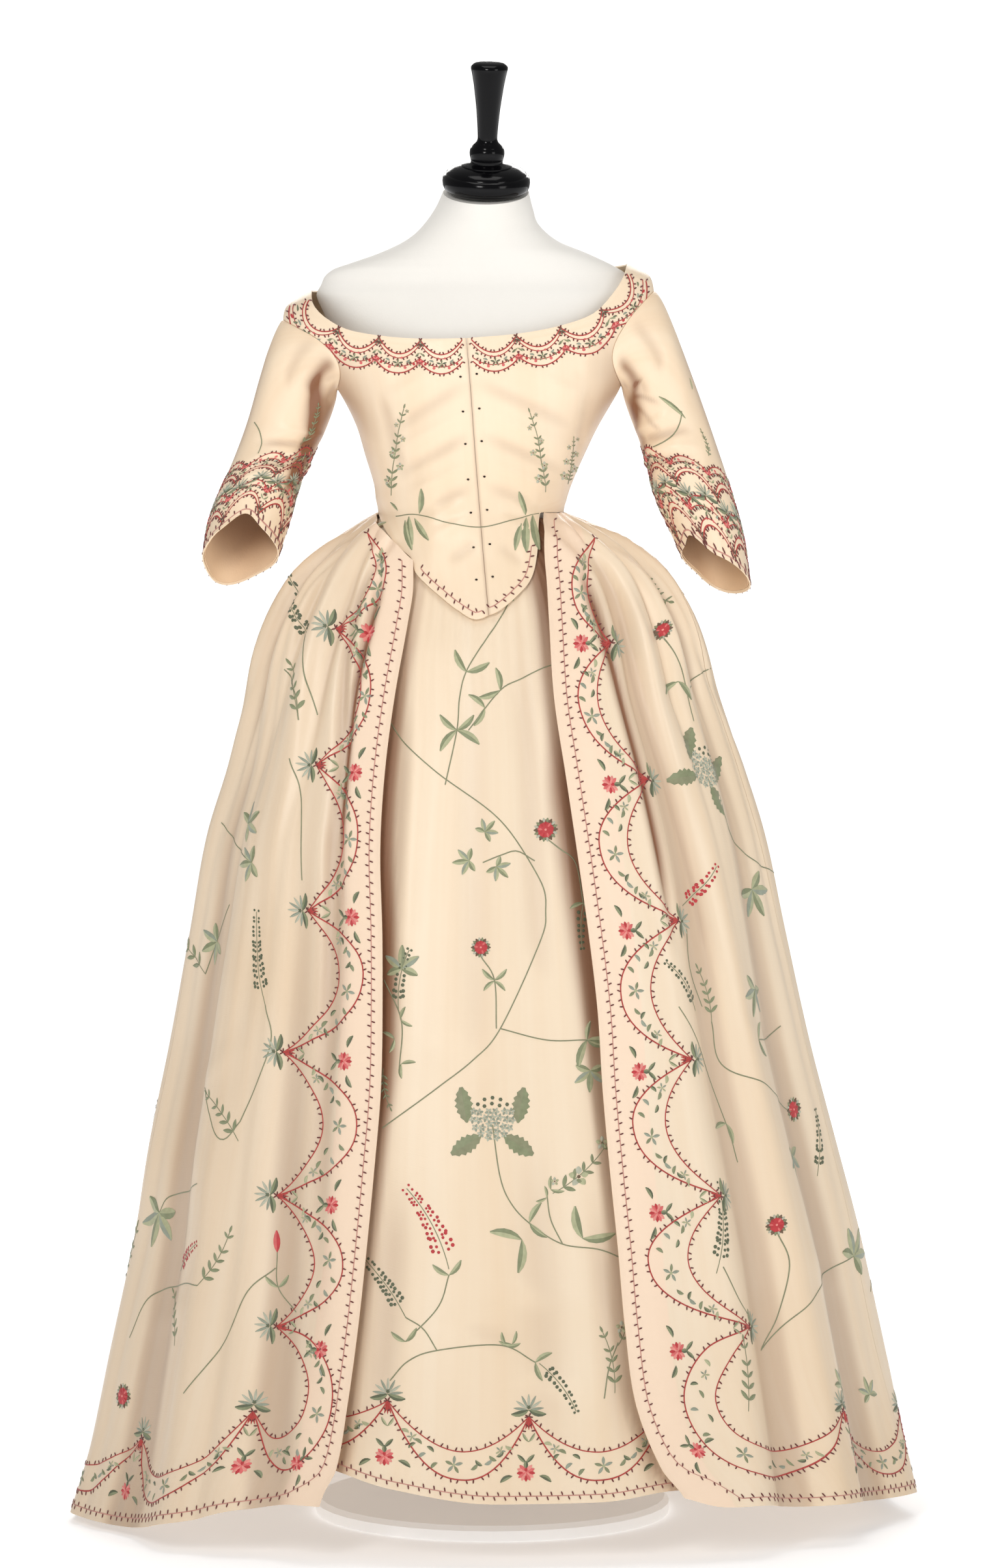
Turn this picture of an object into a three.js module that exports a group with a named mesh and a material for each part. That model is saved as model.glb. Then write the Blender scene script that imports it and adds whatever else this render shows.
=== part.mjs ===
// A robe a la polonaise on a limbless dress form: a fitted bodice with a pointed front, elbow sleeves bent
// forward at the cuff, an open overskirt pleated to the waist, and a petticoat under it.
// Millimetres, +Z up. The front faces -Y, and +X is to the right of someone who looks at the front, which is
// also what left and right mean in every name. The origin is the middle of the stand's underside.
// Cloth is a wall: its outer face is a surface of two parameters, and its inner face lies one wall inside it.
import * as THREE from 'three';

const BODICE_WALL = 1.8; // silk with its linen lining
const SKIRT_WALL = 1.4;
const LINING_WALL = 1.0;
const SEAM_GAP = 0.36; // between two pieces that are sewn together
const SKIRT_GAP = 0.5; // between two widths of a skirt
const LINING_GAP = 0.8; // between a sleeve and the lining that hangs free in its cuff
const WAIST = 1070; // height of the seam that joins bodice and overskirt
const HALF_TURN = 180;
const RADIAN = Math.PI / HALF_TURN;

// ---- small tables and smooth lines through them ----

function table(names, lines) {
  const keys = names.split(' ');
  return lines.map((line) => Object.fromEntries(keys.map((key, i) => [key, line[i]])));
}

// A smooth line through points whose x rises, which never overshoots them.
function smoothLine(xs, ys) {
  const steps = xs.slice(1).map((x, i) => (ys[i + 1] - ys[i]) / (x - xs[i]));
  const slopes = xs.map((_, i) => {
    if (i === 0) return steps[0];
    if (i === xs.length - 1) return steps[i - 1];
    if (steps[i - 1] * steps[i] <= 0) return 0;
    const mean = (ys[i + 1] - ys[i - 1]) / (xs[i + 1] - xs[i - 1]);
    const most = 3 * Math.min(Math.abs(steps[i - 1]), Math.abs(steps[i]));
    return Math.sign(mean) * Math.min(Math.abs(mean), most);
  });
  return (x) => {
    const at = Math.min(Math.max(x, xs[0]), xs[xs.length - 1]);
    let i = 0;
    while (i < xs.length - 2 && at > xs[i + 1]) i += 1;
    const span = xs[i + 1] - xs[i];
    const t = (at - xs[i]) / span;
    const rise = t * t * (3 - 2 * t);
    const ease = t * (1 - t) * (1 - t) * slopes[i] - t * t * (1 - t) * slopes[i + 1];
    return ys[i] + (ys[i + 1] - ys[i]) * rise + span * ease;
  };
}

// The columns of a table as smooth functions of its first column.
function linesOf(rows) {
  const [by, ...keys] = Object.keys(rows[0]);
  const sorted = [...rows].sort((a, b) => a[by] - b[by]);
  const xs = sorted.map((row) => row[by]);
  return Object.fromEntries(keys.map((key) => [key, smoothLine(xs, sorted.map((row) => row[key]))]));
}

function mix(a, b, t) {
  return a + (b - a) * t;
}

function smoothStep(from, to, x) {
  const t = Math.min(Math.max((x - from) / (to - from), 0), 1);
  return t * t * (3 - 2 * t);
}

// ---- rings: a body's cross-section at each height ----
// half is half the width, front and back are the depths before and behind the side line, roll and pitch
// are how far the ring rises for each millimetre towards +X and +Y.

const form = linesOf(table('height centre half front back roll pitch', [
  [860, -20, 96, 68, 84, 0, 0],
  [872, -20, 114, 82, 98, 0, 0],
  [900, -21, 125, 90, 108, 0, 0],
  [950, -22, 128, 90, 112, 0, 0],
  [1000, -23, 116, 84, 98, 0, 0],
  [1040, -23, 99, 78, 81, 0, 0],
  [1055, -22.8, 95.1, 78, 75.6, 0, 0],
  [1070, -22.9, 95.1, 80, 74.4, 0, 0],
  [1085, -22.5, 98.8, 82, 76, 0, 0],
  [1100, -21, 101.9, 83.9, 77.2, 0, 0],
  [1130, -19, 112.6, 90.1, 83.2, 0, 0],
  [1163, -16, 125.7, 98.1, 90.2, 0, 0],
  [1200, -14.5, 144, 104.6, 96.6, 0, 0],
  [1230, -12, 151, 99, 99, 0, 0],
  [1260, -11, 159, 84, 98, 0, 0],
  [1285, -10, 171, 70, 92, 0, 0],
  [1300, -11, 176, 61, 84, 0, 0],
  [1312, -14, 168, 53, 75, 0, 0],
  [1322, -17, 160, 49.5, 70, 0, 0],
  [1328, -17, 152, 48.5, 68, 0, 0],
  [1334, -14, 138, 47.5, 66, 0, 0],
  [1346, -10, 108, 46.5, 63, 0, 0.04],
  [1358, -12, 81, 46, 57, 0, 0.1],
  [1374, -12, 62, 47, 48, 0, 0.18],
  [1392, -9, 52, 50, 40, 0, 0.25],
  [1410, -7, 45.5, 54, 34, 0, 0.3],
]));

const bodice = linesOf(table('height centre half front back roll pitch', [
  [960, -13, 207, 124.5, 121, 0, 0],
  [1003, -14, 183, 104, 102.5, 0, 0],
  [1032, -16, 151, 94, 93, 0, 0],
  [1055, -20, 117.3, 88, 87.4, 0, 0],
  [1064, -22.5, 103, 85.8, 81, 0, 0],
  [1070, -23, 98.8, 84.6, 77.8, 0, 0],
  [1085, -22.5, 101.8, 84.9, 78.8, 0, 0],
  [1100, -21, 105.2, 87.2, 80.2, 0, 0],
  [1130, -19, 116.2, 93.7, 86.2, 0, 0],
  [1163, -16, 129.2, 101.7, 93.2, 0, 0],
  [1200, -14, 149.4, 109.2, 101.4, 0.01, 0],
  [1230, -18, 166, 107, 106, 0.03, 0],
  [1260, -21, 187, 99, 108, 0.055, 0],
  [1285, -25, 197, 89, 104, 0.075, 0],
  [1303, -26, 194, 80, 97, 0.083, 0],
  [1320, -25, 168, 69, 86, 0.083, 0],
  [1340, -24, 130, 60, 74, 0.083, 0],
]));

const petticoat = linesOf(table('height centre half front back roll pitch', [
  [20, 1, 418, 350, 446, 0, 0],
  [80, 2, 402, 340, 430, 0, 0],
  [173, 3, 383, 324, 406, 0, 0],
  [282, 3, 360, 300, 380, 0, 0],
  [400, -2, 337, 277, 352, 0, 0],
  [510, -5, 313, 253, 326, 0, 0],
  [628, -7, 291, 227, 300, 0, 0],
  [725, -8, 272, 201, 278, 0, 0],
  [838, -9, 238, 168, 247, 0, 0],
  [923, -13, 217, 137, 222, 0, 0],
  [965, -13, 201, 116, 204, 0, 0],
  [1003, -14, 178, 98, 178, 0, 0],
  [1032, -16, 146, 88.5, 143, 0, 0],
  [1055, -20, 108.6, 82, 103.5, 0, 0],
  [1064, -22.8, 97.7, 81.6, 77.8, 0, 0],
]));

const overskirt = linesOf(table('height centre half front back roll pitch', [
  [0, 0, 447, 372, 480, 0, 0],
  [80, 3, 426, 358, 458, 0, 0],
  [173, 3, 407, 341, 432, 0, 0],
  [282, 3, 384, 318, 405, 0, 0],
  [400, -2, 360, 294, 376, 0, 0],
  [510, -5, 335, 270, 349, 0, 0],
  [628, -7, 312, 243, 322, 0, 0],
  [725, -8, 293, 217, 300, 0, 0],
  [796, -7, 271, 196, 281, 0, 0],
  [838, -9, 258, 183, 268, 0, 0],
  [880, -12, 246, 168, 255, 0, 0],
  [923, -13, 235, 151, 241, 0, 0],
  [965, -13, 218, 130, 222, 0, 0],
  [1003, -13, 194, 112, 194, 0, 0],
  [1032, -15, 161, 101, 158, 0, 0],
  [1055, -18, 125, 93, 120, 0, 0],
  [1064, -21, 108, 89, 99, 0, 0],
  [WAIST, -23, 99, 86.5, 81, 0, 0],
]));

// The point of a ring at an angle in degrees: 0 is the front, 90 is +X and -90 is -X.
function ringPoint(ring, angle, height) {
  const across = ring.half(height) * Math.sin(angle * RADIAN);
  const depth = Math.abs(angle) < HALF_TURN / 2 ? ring.front(height) : ring.back(height);
  const y = -depth * Math.cos(angle * RADIAN);
  const rise = ring.roll(height) * across + ring.pitch(height) * y;
  return new THREE.Vector3(ring.centre(height) + across, y, height + rise);
}

// The angle at which a ring is that far across from its centre.
function angleAcross(ring, across, height) {
  return Math.asin(Math.min(Math.abs(across) / ring.half(height), 1)) / RADIAN;
}

// ---- walls ----

const STEP = 0.01; // share of a parameter's span over which a slope is measured

function normalAt(surface, p, q, spanP, spanQ) {
  const dp = spanP * STEP;
  const dq = spanQ * STEP;
  const along = surface(p + dp, q).sub(surface(p - dp, q));
  const up = surface(p, q + dq).sub(surface(p, q - dq));
  return along.cross(up).normalize();
}

// Joins an outer and an inner grid of points, outer[row][column], into one closed body. turned is true
// where columns crossed with rows point into the body. Both layers split a cell along the same diagonal, so
// that they stay one wall apart where a cell is twisted.
function closedWall(outer, inner, closed, turned) {
  const rows = outer.length;
  const columns = outer[0].length;
  const corners = [];
  const faces = [];
  for (const grid of [outer, inner]) {
    for (const row of grid) row.forEach((p) => corners.push(p.x, p.y, p.z));
  }
  const id = (layer, row, column) => (layer * rows + row) * columns + (column % columns);
  const quad = (a, b, c, d) => faces.push(...(turned ? [a, c, b, a, d, c] : [a, b, c, a, c, d]));
  const last = closed ? columns : columns - 1;
  for (let j = 0; j < rows - 1; j += 1) {
    for (let i = 0; i < last; i += 1) {
      quad(id(0, j, i), id(0, j, i + 1), id(0, j + 1, i + 1), id(0, j + 1, i));
      quad(id(1, j, i), id(1, j + 1, i), id(1, j + 1, i + 1), id(1, j, i + 1));
    }
  }
  const top = rows - 1;
  for (let i = 0; i < last; i += 1) {
    quad(id(1, 0, i), id(1, 0, i + 1), id(0, 0, i + 1), id(0, 0, i));
    quad(id(0, top, i), id(0, top, i + 1), id(1, top, i + 1), id(1, top, i));
  }
  for (let j = 0; j < rows - 1 && !closed; j += 1) {
    quad(id(1, j, 0), id(0, j, 0), id(0, j + 1, 0), id(1, j + 1, 0));
    quad(id(0, j, last), id(1, j, last), id(1, j + 1, last), id(0, j + 1, last));
  }
  const geometry = new THREE.BufferGeometry();
  geometry.setAttribute('position', new THREE.Float32BufferAttribute(corners, 3));
  geometry.setIndex(faces);
  return geometry;
}

// A wall under a surface. net(u, v) gives the surface's two parameters for column share u and row share v.
function wallUnder(surface, net, columnShares, rowShares, options) {
  const { wall, spans, side = 1, turned = side < 0, closed = false, sunk = 0 } = options;
  const grid = (depth) => rowShares.map((v) => columnShares.map((u) => {
    const [p, q] = net(u, v);
    const normal = normalAt(surface, p, q, ...spans).multiplyScalar(side);
    return surface(p, q).addScaledVector(normal, -depth);
  }));
  return closedWall(grid(sunk), grid(sunk + wall), closed, turned);
}

function shares(count, from = 0, to = 1) {
  return Array.from({ length: count + 1 }, (_, i) => mix(from, to, i / count));
}

// A solid body of stacked rings, closed by a flat face below and one above.
function solidOfRings(ring, heights, columns) {
  const corners = [];
  const faces = [];
  const angles = shares(columns - 1, -HALF_TURN, HALF_TURN - (2 * HALF_TURN) / columns);
  for (const height of heights) {
    for (const angle of angles) corners.push(...ringPoint(ring, angle, height).toArray());
  }
  const id = (row, column) => row * columns + (column % columns);
  for (let j = 0; j < heights.length - 1; j += 1) {
    for (let i = 0; i < columns; i += 1) {
      faces.push(id(j, i), id(j, i + 1), id(j + 1, i + 1), id(j, i), id(j + 1, i + 1), id(j + 1, i));
    }
  }
  const middle = corners.length / 3;
  const top = heights.length - 1;
  for (const row of [0, top]) {
    const low = ringPoint(ring, 0, heights[row]);
    const high = ringPoint(ring, HALF_TURN, heights[row]);
    corners.push(...low.add(high).multiplyScalar(0.5).toArray());
  }
  for (let i = 0; i < columns; i += 1) {
    faces.push(middle, id(0, i + 1), id(0, i));
    faces.push(middle + 1, id(top, i), id(top, i + 1));
  }
  const geometry = new THREE.BufferGeometry();
  geometry.setAttribute('position', new THREE.Float32BufferAttribute(corners, 3));
  geometry.setIndex(faces);
  return geometry;
}

// ---- finishes and the group ----

const finish = (color, roughness, metalness = 0) => new THREE.MeshStandardMaterial({
  color, roughness, metalness, side: THREE.DoubleSide,
});
const silk = finish(0xf3dcb9, 0.55);
const liningCloth = finish(0xe9c9a0, 0.75);
const calico = finish(0xf4f1e8, 0.85);
const blackLacquer = finish(0x0a0a0c, 0.15);
const darkIron = finish(0x26262a, 0.45, 0.6);
const whiteEnamel = finish(0xeeeeec, 0.6);

const robe = new THREE.Group();

function addPiece(name, geometry, material) {
  const mesh = new THREE.Mesh(geometry, material);
  mesh.name = name;
  robe.add(mesh);
  return mesh;
}

// ---- dress form: torso, neck cap with its handle, pole and base ----

const NECK_TOP = 1410;
const TORSO_FOOT = 860;
const STAND_GAP = 0.3;
const CAP_LEAN = 1.6; // degrees towards +X
const CAP_GAP = 1.6;

function addForm() {
  const heights = [860, 872, 900, 950, 1000, 1040, 1070, 1085, 1100, 1130, 1163, 1182, 1200, 1230,
    1260, 1285, 1300, 1312, 1322, 1328, 1334, 1346, 1358, 1374, 1392, NECK_TOP];
  addPiece('form_torso', solidOfRings(form, heights, 36), calico);

  const capProfile = table('radius height', [
    [0, 0], [38, 0], [44.5, 4.5], [46.5, 12], [45, 18.5], [39, 24.5], [28, 29], [18, 32],
    [16.8, 34.5], [18, 41], [17.6, 48], [14.2, 53], [10.6, 56],
    [10.4, 61], [12.6, 90], [16, 116], [19, 131], [19.4, 134.5], [18.4, 138], [13.5, 140.6], [0, 141.5],
  ]);
  const profile = capProfile.map(({ radius, height }) => new THREE.Vector2(radius, height));
  const cap = new THREE.LatheGeometry(profile, 24);
  cap.rotateX(Math.PI / 2);
  const neckFront = ringPoint(form, 0, NECK_TOP);
  const neckBack = ringPoint(form, HALF_TURN, NECK_TOP);
  const neckMiddle = neckFront.clone().add(neckBack).multiplyScalar(0.5);
  const capMesh = addPiece('form_cap_and_handle', cap, blackLacquer);
  capMesh.rotation.set(Math.atan(form.pitch(NECK_TOP)), CAP_LEAN * RADIAN, 0);
  capMesh.position.copy(neckMiddle).add(new THREE.Vector3(0, 0, CAP_GAP));

  const baseRadius = 190;
  const baseThickness = 16;
  const chamfer = 5;
  const baseProfile = [[0, 0], [baseRadius, 0], [baseRadius, baseThickness - chamfer],
    [baseRadius - chamfer, baseThickness], [0, baseThickness]];
  const base = new THREE.LatheGeometry(baseProfile.map(([r, z]) => new THREE.Vector2(r, z)), 40);
  base.rotateX(Math.PI / 2);
  addPiece('stand_base', base, whiteEnamel);

  const poleRadius = 16;
  const poleFoot = baseThickness + STAND_GAP;
  const poleLength = TORSO_FOOT - STAND_GAP - poleFoot;
  const pole = new THREE.CylinderGeometry(poleRadius, poleRadius, poleLength, 20);
  pole.rotateX(Math.PI / 2);
  pole.translate(0, 0, poleFoot + poleLength / 2);
  addPiece('stand_pole', pole, darkIron);
}

// ---- bodice ----

const CHEST = 1196; // the row of the bodice that runs just under the arms
const HIGH_WAIST = 1086;
const ARMHOLE = { height: 1246, halfHeight: 43, middle: 90, halfWidth: 32 };
const NECK_CENTRE = 1253;
const BODICE_SPANS = [90, 120];

// The edge of the armhole: turn 0 is its top, 90 its back, 180 under the arm and 270 its front.
function armholeEdge(turn, shrink = 0) {
  const perDegree = 3; // millimetres for each degree of the ring, near enough for a gap
  const width = ARMHOLE.halfWidth - shrink / perDegree;
  const height = ARMHOLE.halfHeight - shrink;
  const angle = ARMHOLE.middle + width * Math.sin(turn * RADIAN);
  return [angle, ARMHOLE.height + height * Math.cos(turn * RADIAN)];
}

// The lower edge of a front, from the centre seam to the side seam: where it lies across and how high, and
// how far towards the side the same column stands at the high waist.
const lowerEdges = {
  left: linesOf(table('share x height turn', [
    [0, -4, 963.5, 0],
    [0.1, -17, 959, 0.1],
    [0.22, -38, 970, 0.24],
    [0.34, -56, 984, 0.38],
    [0.45, -70, 996, 0.5],
    [0.54, -81, 1008, 0.6],
    [0.63, -85, 1022, 0.68],
    [0.76, -101, 1036, 0.78],
    [0.88, -114, 1053, 0.88],
    [1, -122, WAIST, 1],
  ])),
  right: linesOf(table('share x height turn', [
    [0, -4, 963.5, 0],
    [0.09, 5, 967, 0.07],
    [0.18, 16, 975, 0.15],
    [0.28, 28, 986, 0.24],
    [0.37, 38, 997, 0.31],
    [0.45, 44, 1011, 0.37],
    [0.53, 47.5, 1034, 0.43],
    [0.61, 48.5, 1063, 0.49],
    [0.65, 51, WAIST, 0.53],
    [0.76, 62, WAIST, 0.67],
    [0.88, 71, WAIST, 0.84],
    [1, 76, WAIST, 1],
  ])),
};
const FRONT_COLUMNS = {
  left: shares(11),
  right: [0, 0.09, 0.18, 0.28, 0.37, 0.45, 0.53, 0.61, 0.65, 0.76, 0.88, 1],
};

// Where the centre front seam lies across at each height.
const centreFront = linesOf(table('height x', [
  [963, -4],
  [1030, -10],
  [1086, -14.5],
  [1130, -18],
  [1196, -22.7],
  [1253, -27.3],
]));

// The neckline, from the centre front to the top of the shoulder.
const neckline = linesOf(table('share across height', [
  [0, 0, NECK_CENTRE],
  [0.2, 46, 1254.5],
  [0.42, 90, 1260],
  [0.62, 130, 1271],
  [0.76, 152, 1288],
  [0.88, 164, 1304],
  [1, 168, 1320],
]));

// Rows 0 to 1 rise from the lower edge to the high waist, the chest, the neck's centre and the shoulder seam.
const FRONT_STAGES = { highWaist: 0.3, chest: 0.62, neck: 0.8 };

function turnTo(x, height) {
  const share = (x - bodice.centre(height)) / bodice.half(height);
  return Math.asin(Math.min(Math.max(share, -1), 1)) / RADIAN;
}

function frontNet(name, side, u, v) {
  const { highWaist, chest, neck } = FRONT_STAGES;
  const edge = lowerEdges[name];
  if (v <= highWaist) {
    const t = v / highWaist;
    const height = mix(edge.height(u), HIGH_WAIST, t);
    if (u > 0.995) return [90 * side, height];
    const start = turnTo(centreFront.x(HIGH_WAIST), HIGH_WAIST);
    const turn = mix(start, 90 * side, edge.turn(u)) * RADIAN;
    const upper = bodice.centre(HIGH_WAIST) + bodice.half(HIGH_WAIST) * Math.sin(turn);
    const x = u === 0 ? centreFront.x(height) : mix(edge.x(u), upper, t);
    return [turnTo(x, height), height];
  }
  if (v <= chest) {
    const t = (v - highWaist) / (chest - highWaist);
    const height = mix(HIGH_WAIST, CHEST, t);
    return [mix(turnTo(centreFront.x(height), height), 90 * side, mix(edge.turn(u), u, t)), height];
  }
  const toShoulder = (v - chest) / (1 - chest);
  const right = armholeEdge(mix(180, 360, toShoulder));
  const dip = (1 - smoothStep(0, 0.2, toShoulder)) * (right[1] - CHEST);
  const rightHeight = right[1] - dip * (1 - u);
  if (v <= neck) {
    const t = (v - chest) / (neck - chest);
    const height = mix(mix(CHEST, NECK_CENTRE, t), rightHeight, u);
    return [mix(turnTo(centreFront.x(height), height), right[0] * side, u), height];
  }
  const share = (v - neck) / (1 - neck);
  const height = neckline.height(share);
  const start = turnTo(centreFront.x(NECK_CENTRE), NECK_CENTRE) * (1 - share) ** 2;
  const left = share > 0.995 ? 90 : angleAcross(bodice, neckline.across(share), height);
  return [mix(start + left * side, right[0] * side, u), mix(height, rightHeight, u)];
}

const BACK_NECK = 1317; // height of the back's upper edge at the centre

// The back: u runs from the centre back to the side, and v from the waist to the neck and shoulder.
function backNet(side, u, v) {
  const { chest } = FRONT_STAGES;
  if (v <= chest) return [side * (HALF_TURN - 90 * u), mix(WAIST, CHEST, v / chest)];
  const toShoulder = (v - chest) / (1 - chest);
  const right = armholeEdge(mix(180, 0, toShoulder));
  const corner = smoothStep(0.55, 1, toShoulder);
  const leftAngle = mix(HALF_TURN, 90, corner);
  const leftHeight = mix(mix(CHEST, BACK_NECK, Math.min(toShoulder / 0.55, 1)), neckline.height(1), corner);
  return [side * mix(leftAngle, right[0], u), mix(leftHeight, right[1], u)];
}

function addBodice() {
  const surface = (angle, height) => ringPoint(bodice, angle, height);
  const { highWaist, chest, neck } = FRONT_STAGES;
  const frontRows = [...shares(3, 0, highWaist), ...shares(4, highWaist, chest).slice(1),
    ...shares(3, chest, neck).slice(1), ...shares(5, neck, 1).slice(1)];
  const backRows = [...shares(6, 0, chest), ...shares(9, chest, 1).slice(1)];
  for (const [name, side] of [['left', -1], ['right', 1]]) {
    // A piece stops half a seam's gap short of its two seams.
    const trimmed = (net, from, to) => (u, v) => {
      const [angle, height] = net(u, v);
      const short = SEAM_GAP / 2 / (bodice.half(height) * RADIAN);
      const low = from(height) + short;
      const high = to - short;
      const turn = side * angle;
      const lift = v === 0 && turn > 40 ? SEAM_GAP / 2 : 0;
      return [side * Math.min(Math.max(turn, low), high), height + lift];
    };
    const seamTurn = (height) => side * turnTo(centreFront.x(height), height);
    const front = trimmed((u, v) => frontNet(name, side, u, v),
      (height) => (height > NECK_CENTRE ? -45 : seamTurn(height)), 90);
    const back = trimmed((u, v) => backNet(side, u, v), () => 90, HALF_TURN);
    const options = { wall: BODICE_WALL, spans: BODICE_SPANS };
    addPiece(`bodice_front_${name}`,
      wallUnder(surface, front, FRONT_COLUMNS[name], frontRows, { ...options, turned: side < 0 }), silk);
    addPiece(`bodice_back_${name}`,
      wallUnder(surface, back, shares(8), backRows, { ...options, turned: side > 0 }), silk);
  }
}

// ---- sleeves ----
// Each row is a ring of the sleeve by its outermost and innermost points seen from the front, its depth from
// middle to front or back, how far the middle lies behind the side line, and how far it leans to face forward.

const SLEEVES = {
  left: {
    side: -1,
    rings: linesOf(table('along outerX outerZ innerX innerZ depth middle lean', [
      [0, -222, 1280, -163, 1203, 48, 0, 0],
      [0.1, -231, 1266, -165, 1198, 46, 1, 0],
      [0.22, -239, 1242, -167, 1188, 44, 3, 0],
      [0.36, -249, 1209, -173, 1170, 42, 5, 0],
      [0.5, -261, 1167, -183, 1146, 41, 6, 4],
      [0.64, -275, 1128, -197, 1118, 41, 3, 12],
      [0.78, -291, 1088, -208, 1090, 42, -8, 28],
      [0.9, -302, 1054, -215, 1062, 43, -28, 46],
      [1, -306, 1030, -221, 1040, 44, -46, 56],
    ])),
  },
  right: {
    side: 1,
    rings: linesOf(table('along outerX outerZ innerX innerZ depth middle lean', [
      [0, 178, 1304, 135, 1203, 48, 0, 0],
      [0.1, 187, 1289, 138, 1199, 46, 1, 0],
      [0.22, 195, 1262, 140, 1191, 44, 3, 0],
      [0.36, 205, 1235, 145, 1176, 42, 5, 0],
      [0.5, 221, 1192, 154, 1152, 41, 6, 3],
      [0.64, 237, 1146, 164, 1122, 41, 4, 8],
      [0.78, 253, 1096, 171, 1092, 42, -3, 18],
      [0.9, 267, 1042, 184, 1062, 43, -14, 28],
      [1, 272, 992, 198, 1036, 44, -26, 36],
    ])),
  },
};

const SLEEVE_SPANS = [90, 1];
const LIFT = 1.2; // how far the sleeve's seam stands proud of the bodice
const HEAD_REACH = 0.26; // share of the sleeve over which the armhole's shape gives way to the rings

function sleevePoint({ side, rings }, turn, along) {
  const at = Math.min(Math.max(along, 0), 1);
  const outer = new THREE.Vector3(rings.outerX(at), rings.middle(at), rings.outerZ(at));
  const inner = new THREE.Vector3(rings.innerX(at), rings.middle(at), rings.innerZ(at));
  const centre = outer.clone().add(inner).multiplyScalar(0.5);
  const reach = outer.sub(inner).multiplyScalar(0.5);
  const flat = reach.clone().normalize();
  const down = new THREE.Vector3(flat.z * side, 0, -flat.x * side);
  const lean = rings.lean(at) * RADIAN;
  const back = new THREE.Vector3(0, Math.cos(lean), 0).addScaledVector(down, Math.sin(lean));
  const point = centre.addScaledVector(reach, Math.cos(turn * RADIAN));
  point.addScaledVector(back, rings.depth(at) * Math.sin(turn * RADIAN));
  const [angle, height] = armholeEdge(turn, SEAM_GAP + 0.2);
  const armhole = (p, q) => ringPoint(bodice, p, q);
  const root = armhole(side * angle, height);
  root.addScaledVector(normalAt(armhole, side * angle, height, ...BODICE_SPANS), LIFT);
  const overshoot = along < 0 ? down.multiplyScalar(along * 250) : new THREE.Vector3();
  return point.lerp(root, 1 - smoothStep(0, HEAD_REACH, at)).add(overshoot);
}

const SLEEVE_ROWS = [0, 0.06, 0.14, 0.24, 0.36, 0.5, 0.64, 0.78, 0.89, 1];
const LINING_ROWS = [0.5, 0.64, 0.78, 0.89, 0.985]; // only its lower part is built, as it shows in the cuff

function addSleeves() {
  const turns = shares(20).slice(0, 20);
  for (const [name, sleeve] of Object.entries(SLEEVES)) {
    const surface = (turn, along) => sleevePoint(sleeve, turn, along);
    const options = { spans: SLEEVE_SPANS, side: -sleeve.side, closed: true };
    const net = (u, v) => [u * 2 * HALF_TURN, v];
    addPiece(`sleeve_${name}`,
      wallUnder(surface, net, turns, SLEEVE_ROWS, { ...options, wall: BODICE_WALL }), silk);
    addPiece(`sleeve_lining_${name}`,
      wallUnder(surface, net, turns, LINING_ROWS,
        { ...options, wall: LINING_WALL, sunk: BODICE_WALL + LINING_GAP }), liningCloth);
  }
}

// ---- folds ----
// A fold is a soft ridge, or a trough where its depth is negative, that runs from waist to hem. Its angle and
// depth are given at the top, the middle and the hem, and its width at the hem.

const FOLD_TOP = 1040;
const FOLD_MIDDLE = 620;

function foldOf(row) {
  const heights = [0, FOLD_MIDDLE, FOLD_TOP, WAIST];
  return {
    side: row.side,
    angle: smoothLine(heights, [row.hemAngle, row.midAngle, row.topAngle, row.topAngle]),
    depth: smoothLine(heights, [row.hemDepth, row.midDepth, row.topDepth, 0]),
    width: smoothLine(heights, [row.width, row.width * 0.75, row.width * 0.35, row.width * 0.25]),
  };
}

const FOLD_NAMES = 'side topAngle midAngle hemAngle topDepth midDepth hemDepth width';

const overskirtFolds = table(FOLD_NAMES, [
  [1, 36, 38, 39, 3, 8, 12, 42],
  [1, 42, 45, 46, -7, -14, -20, 34],
  [1, 54, 55, 56, 3, 9, 17, 36],
  [1, 64, 66, 68, -3, -7, -13, 40],
  [1, 80, 80, 82, 2, 7, 13, 44],
  [1, 96, 96, 97, -2, -6, -12, 44],
  [1, 113, 112, 112, 3, 8, 16, 46],
  [1, 130, 129, 128, -3, -8, -14, 46],
  [1, 147, 146, 145, 3, 8, 16, 46],
  [1, 163, 162, 161, -3, -7, -13, 46],
  [-1, 38, 31, 26, -9, -9, 0, 16],
  [-1, 44, 38, 33, 0, -5, -14, 32],
  [-1, 50, 45, 41, 2, 6, 6, 34],
  [-1, 58, 54, 49, 3, 8, 16, 36],
  [-1, 68, 66, 62, -3, -7, -13, 40],
  [-1, 80, 79, 78, 2, 7, 13, 44],
  [-1, 96, 96, 95, -2, -6, -12, 44],
  [-1, 113, 112, 112, 3, 8, 15, 46],
  [-1, 130, 129, 128, -3, -8, -14, 46],
  [-1, 147, 146, 145, 3, 8, 16, 46],
  [-1, 163, 162, 161, -3, -7, -13, 46],
]).map(foldOf);

const petticoatFolds = table(FOLD_NAMES, [
  [-1, 20, 19, 17, 1, 3, 4, 40],
  [-1, 30, 28, 27, -1, -5, -9, 34],
  [-1, 4, 5, 5, 0, 1, 3, 60],
  [1, 10, 9, 9, 0, -2, -4, 40],
  [1, 20, 19, 18, 1, 3, 5, 36],
  [1, 30, 28, 26, -1, -5, -8, 34],
]).map(foldOf);

function foldOffset(folds, angle, height, radius) {
  return folds.reduce((sum, fold) => {
    const away = (angle - fold.side * fold.angle(height)) * RADIAN * radius;
    return sum + fold.depth(height) * Math.exp(-((away / fold.width(height)) ** 2));
  }, 0);
}

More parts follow.
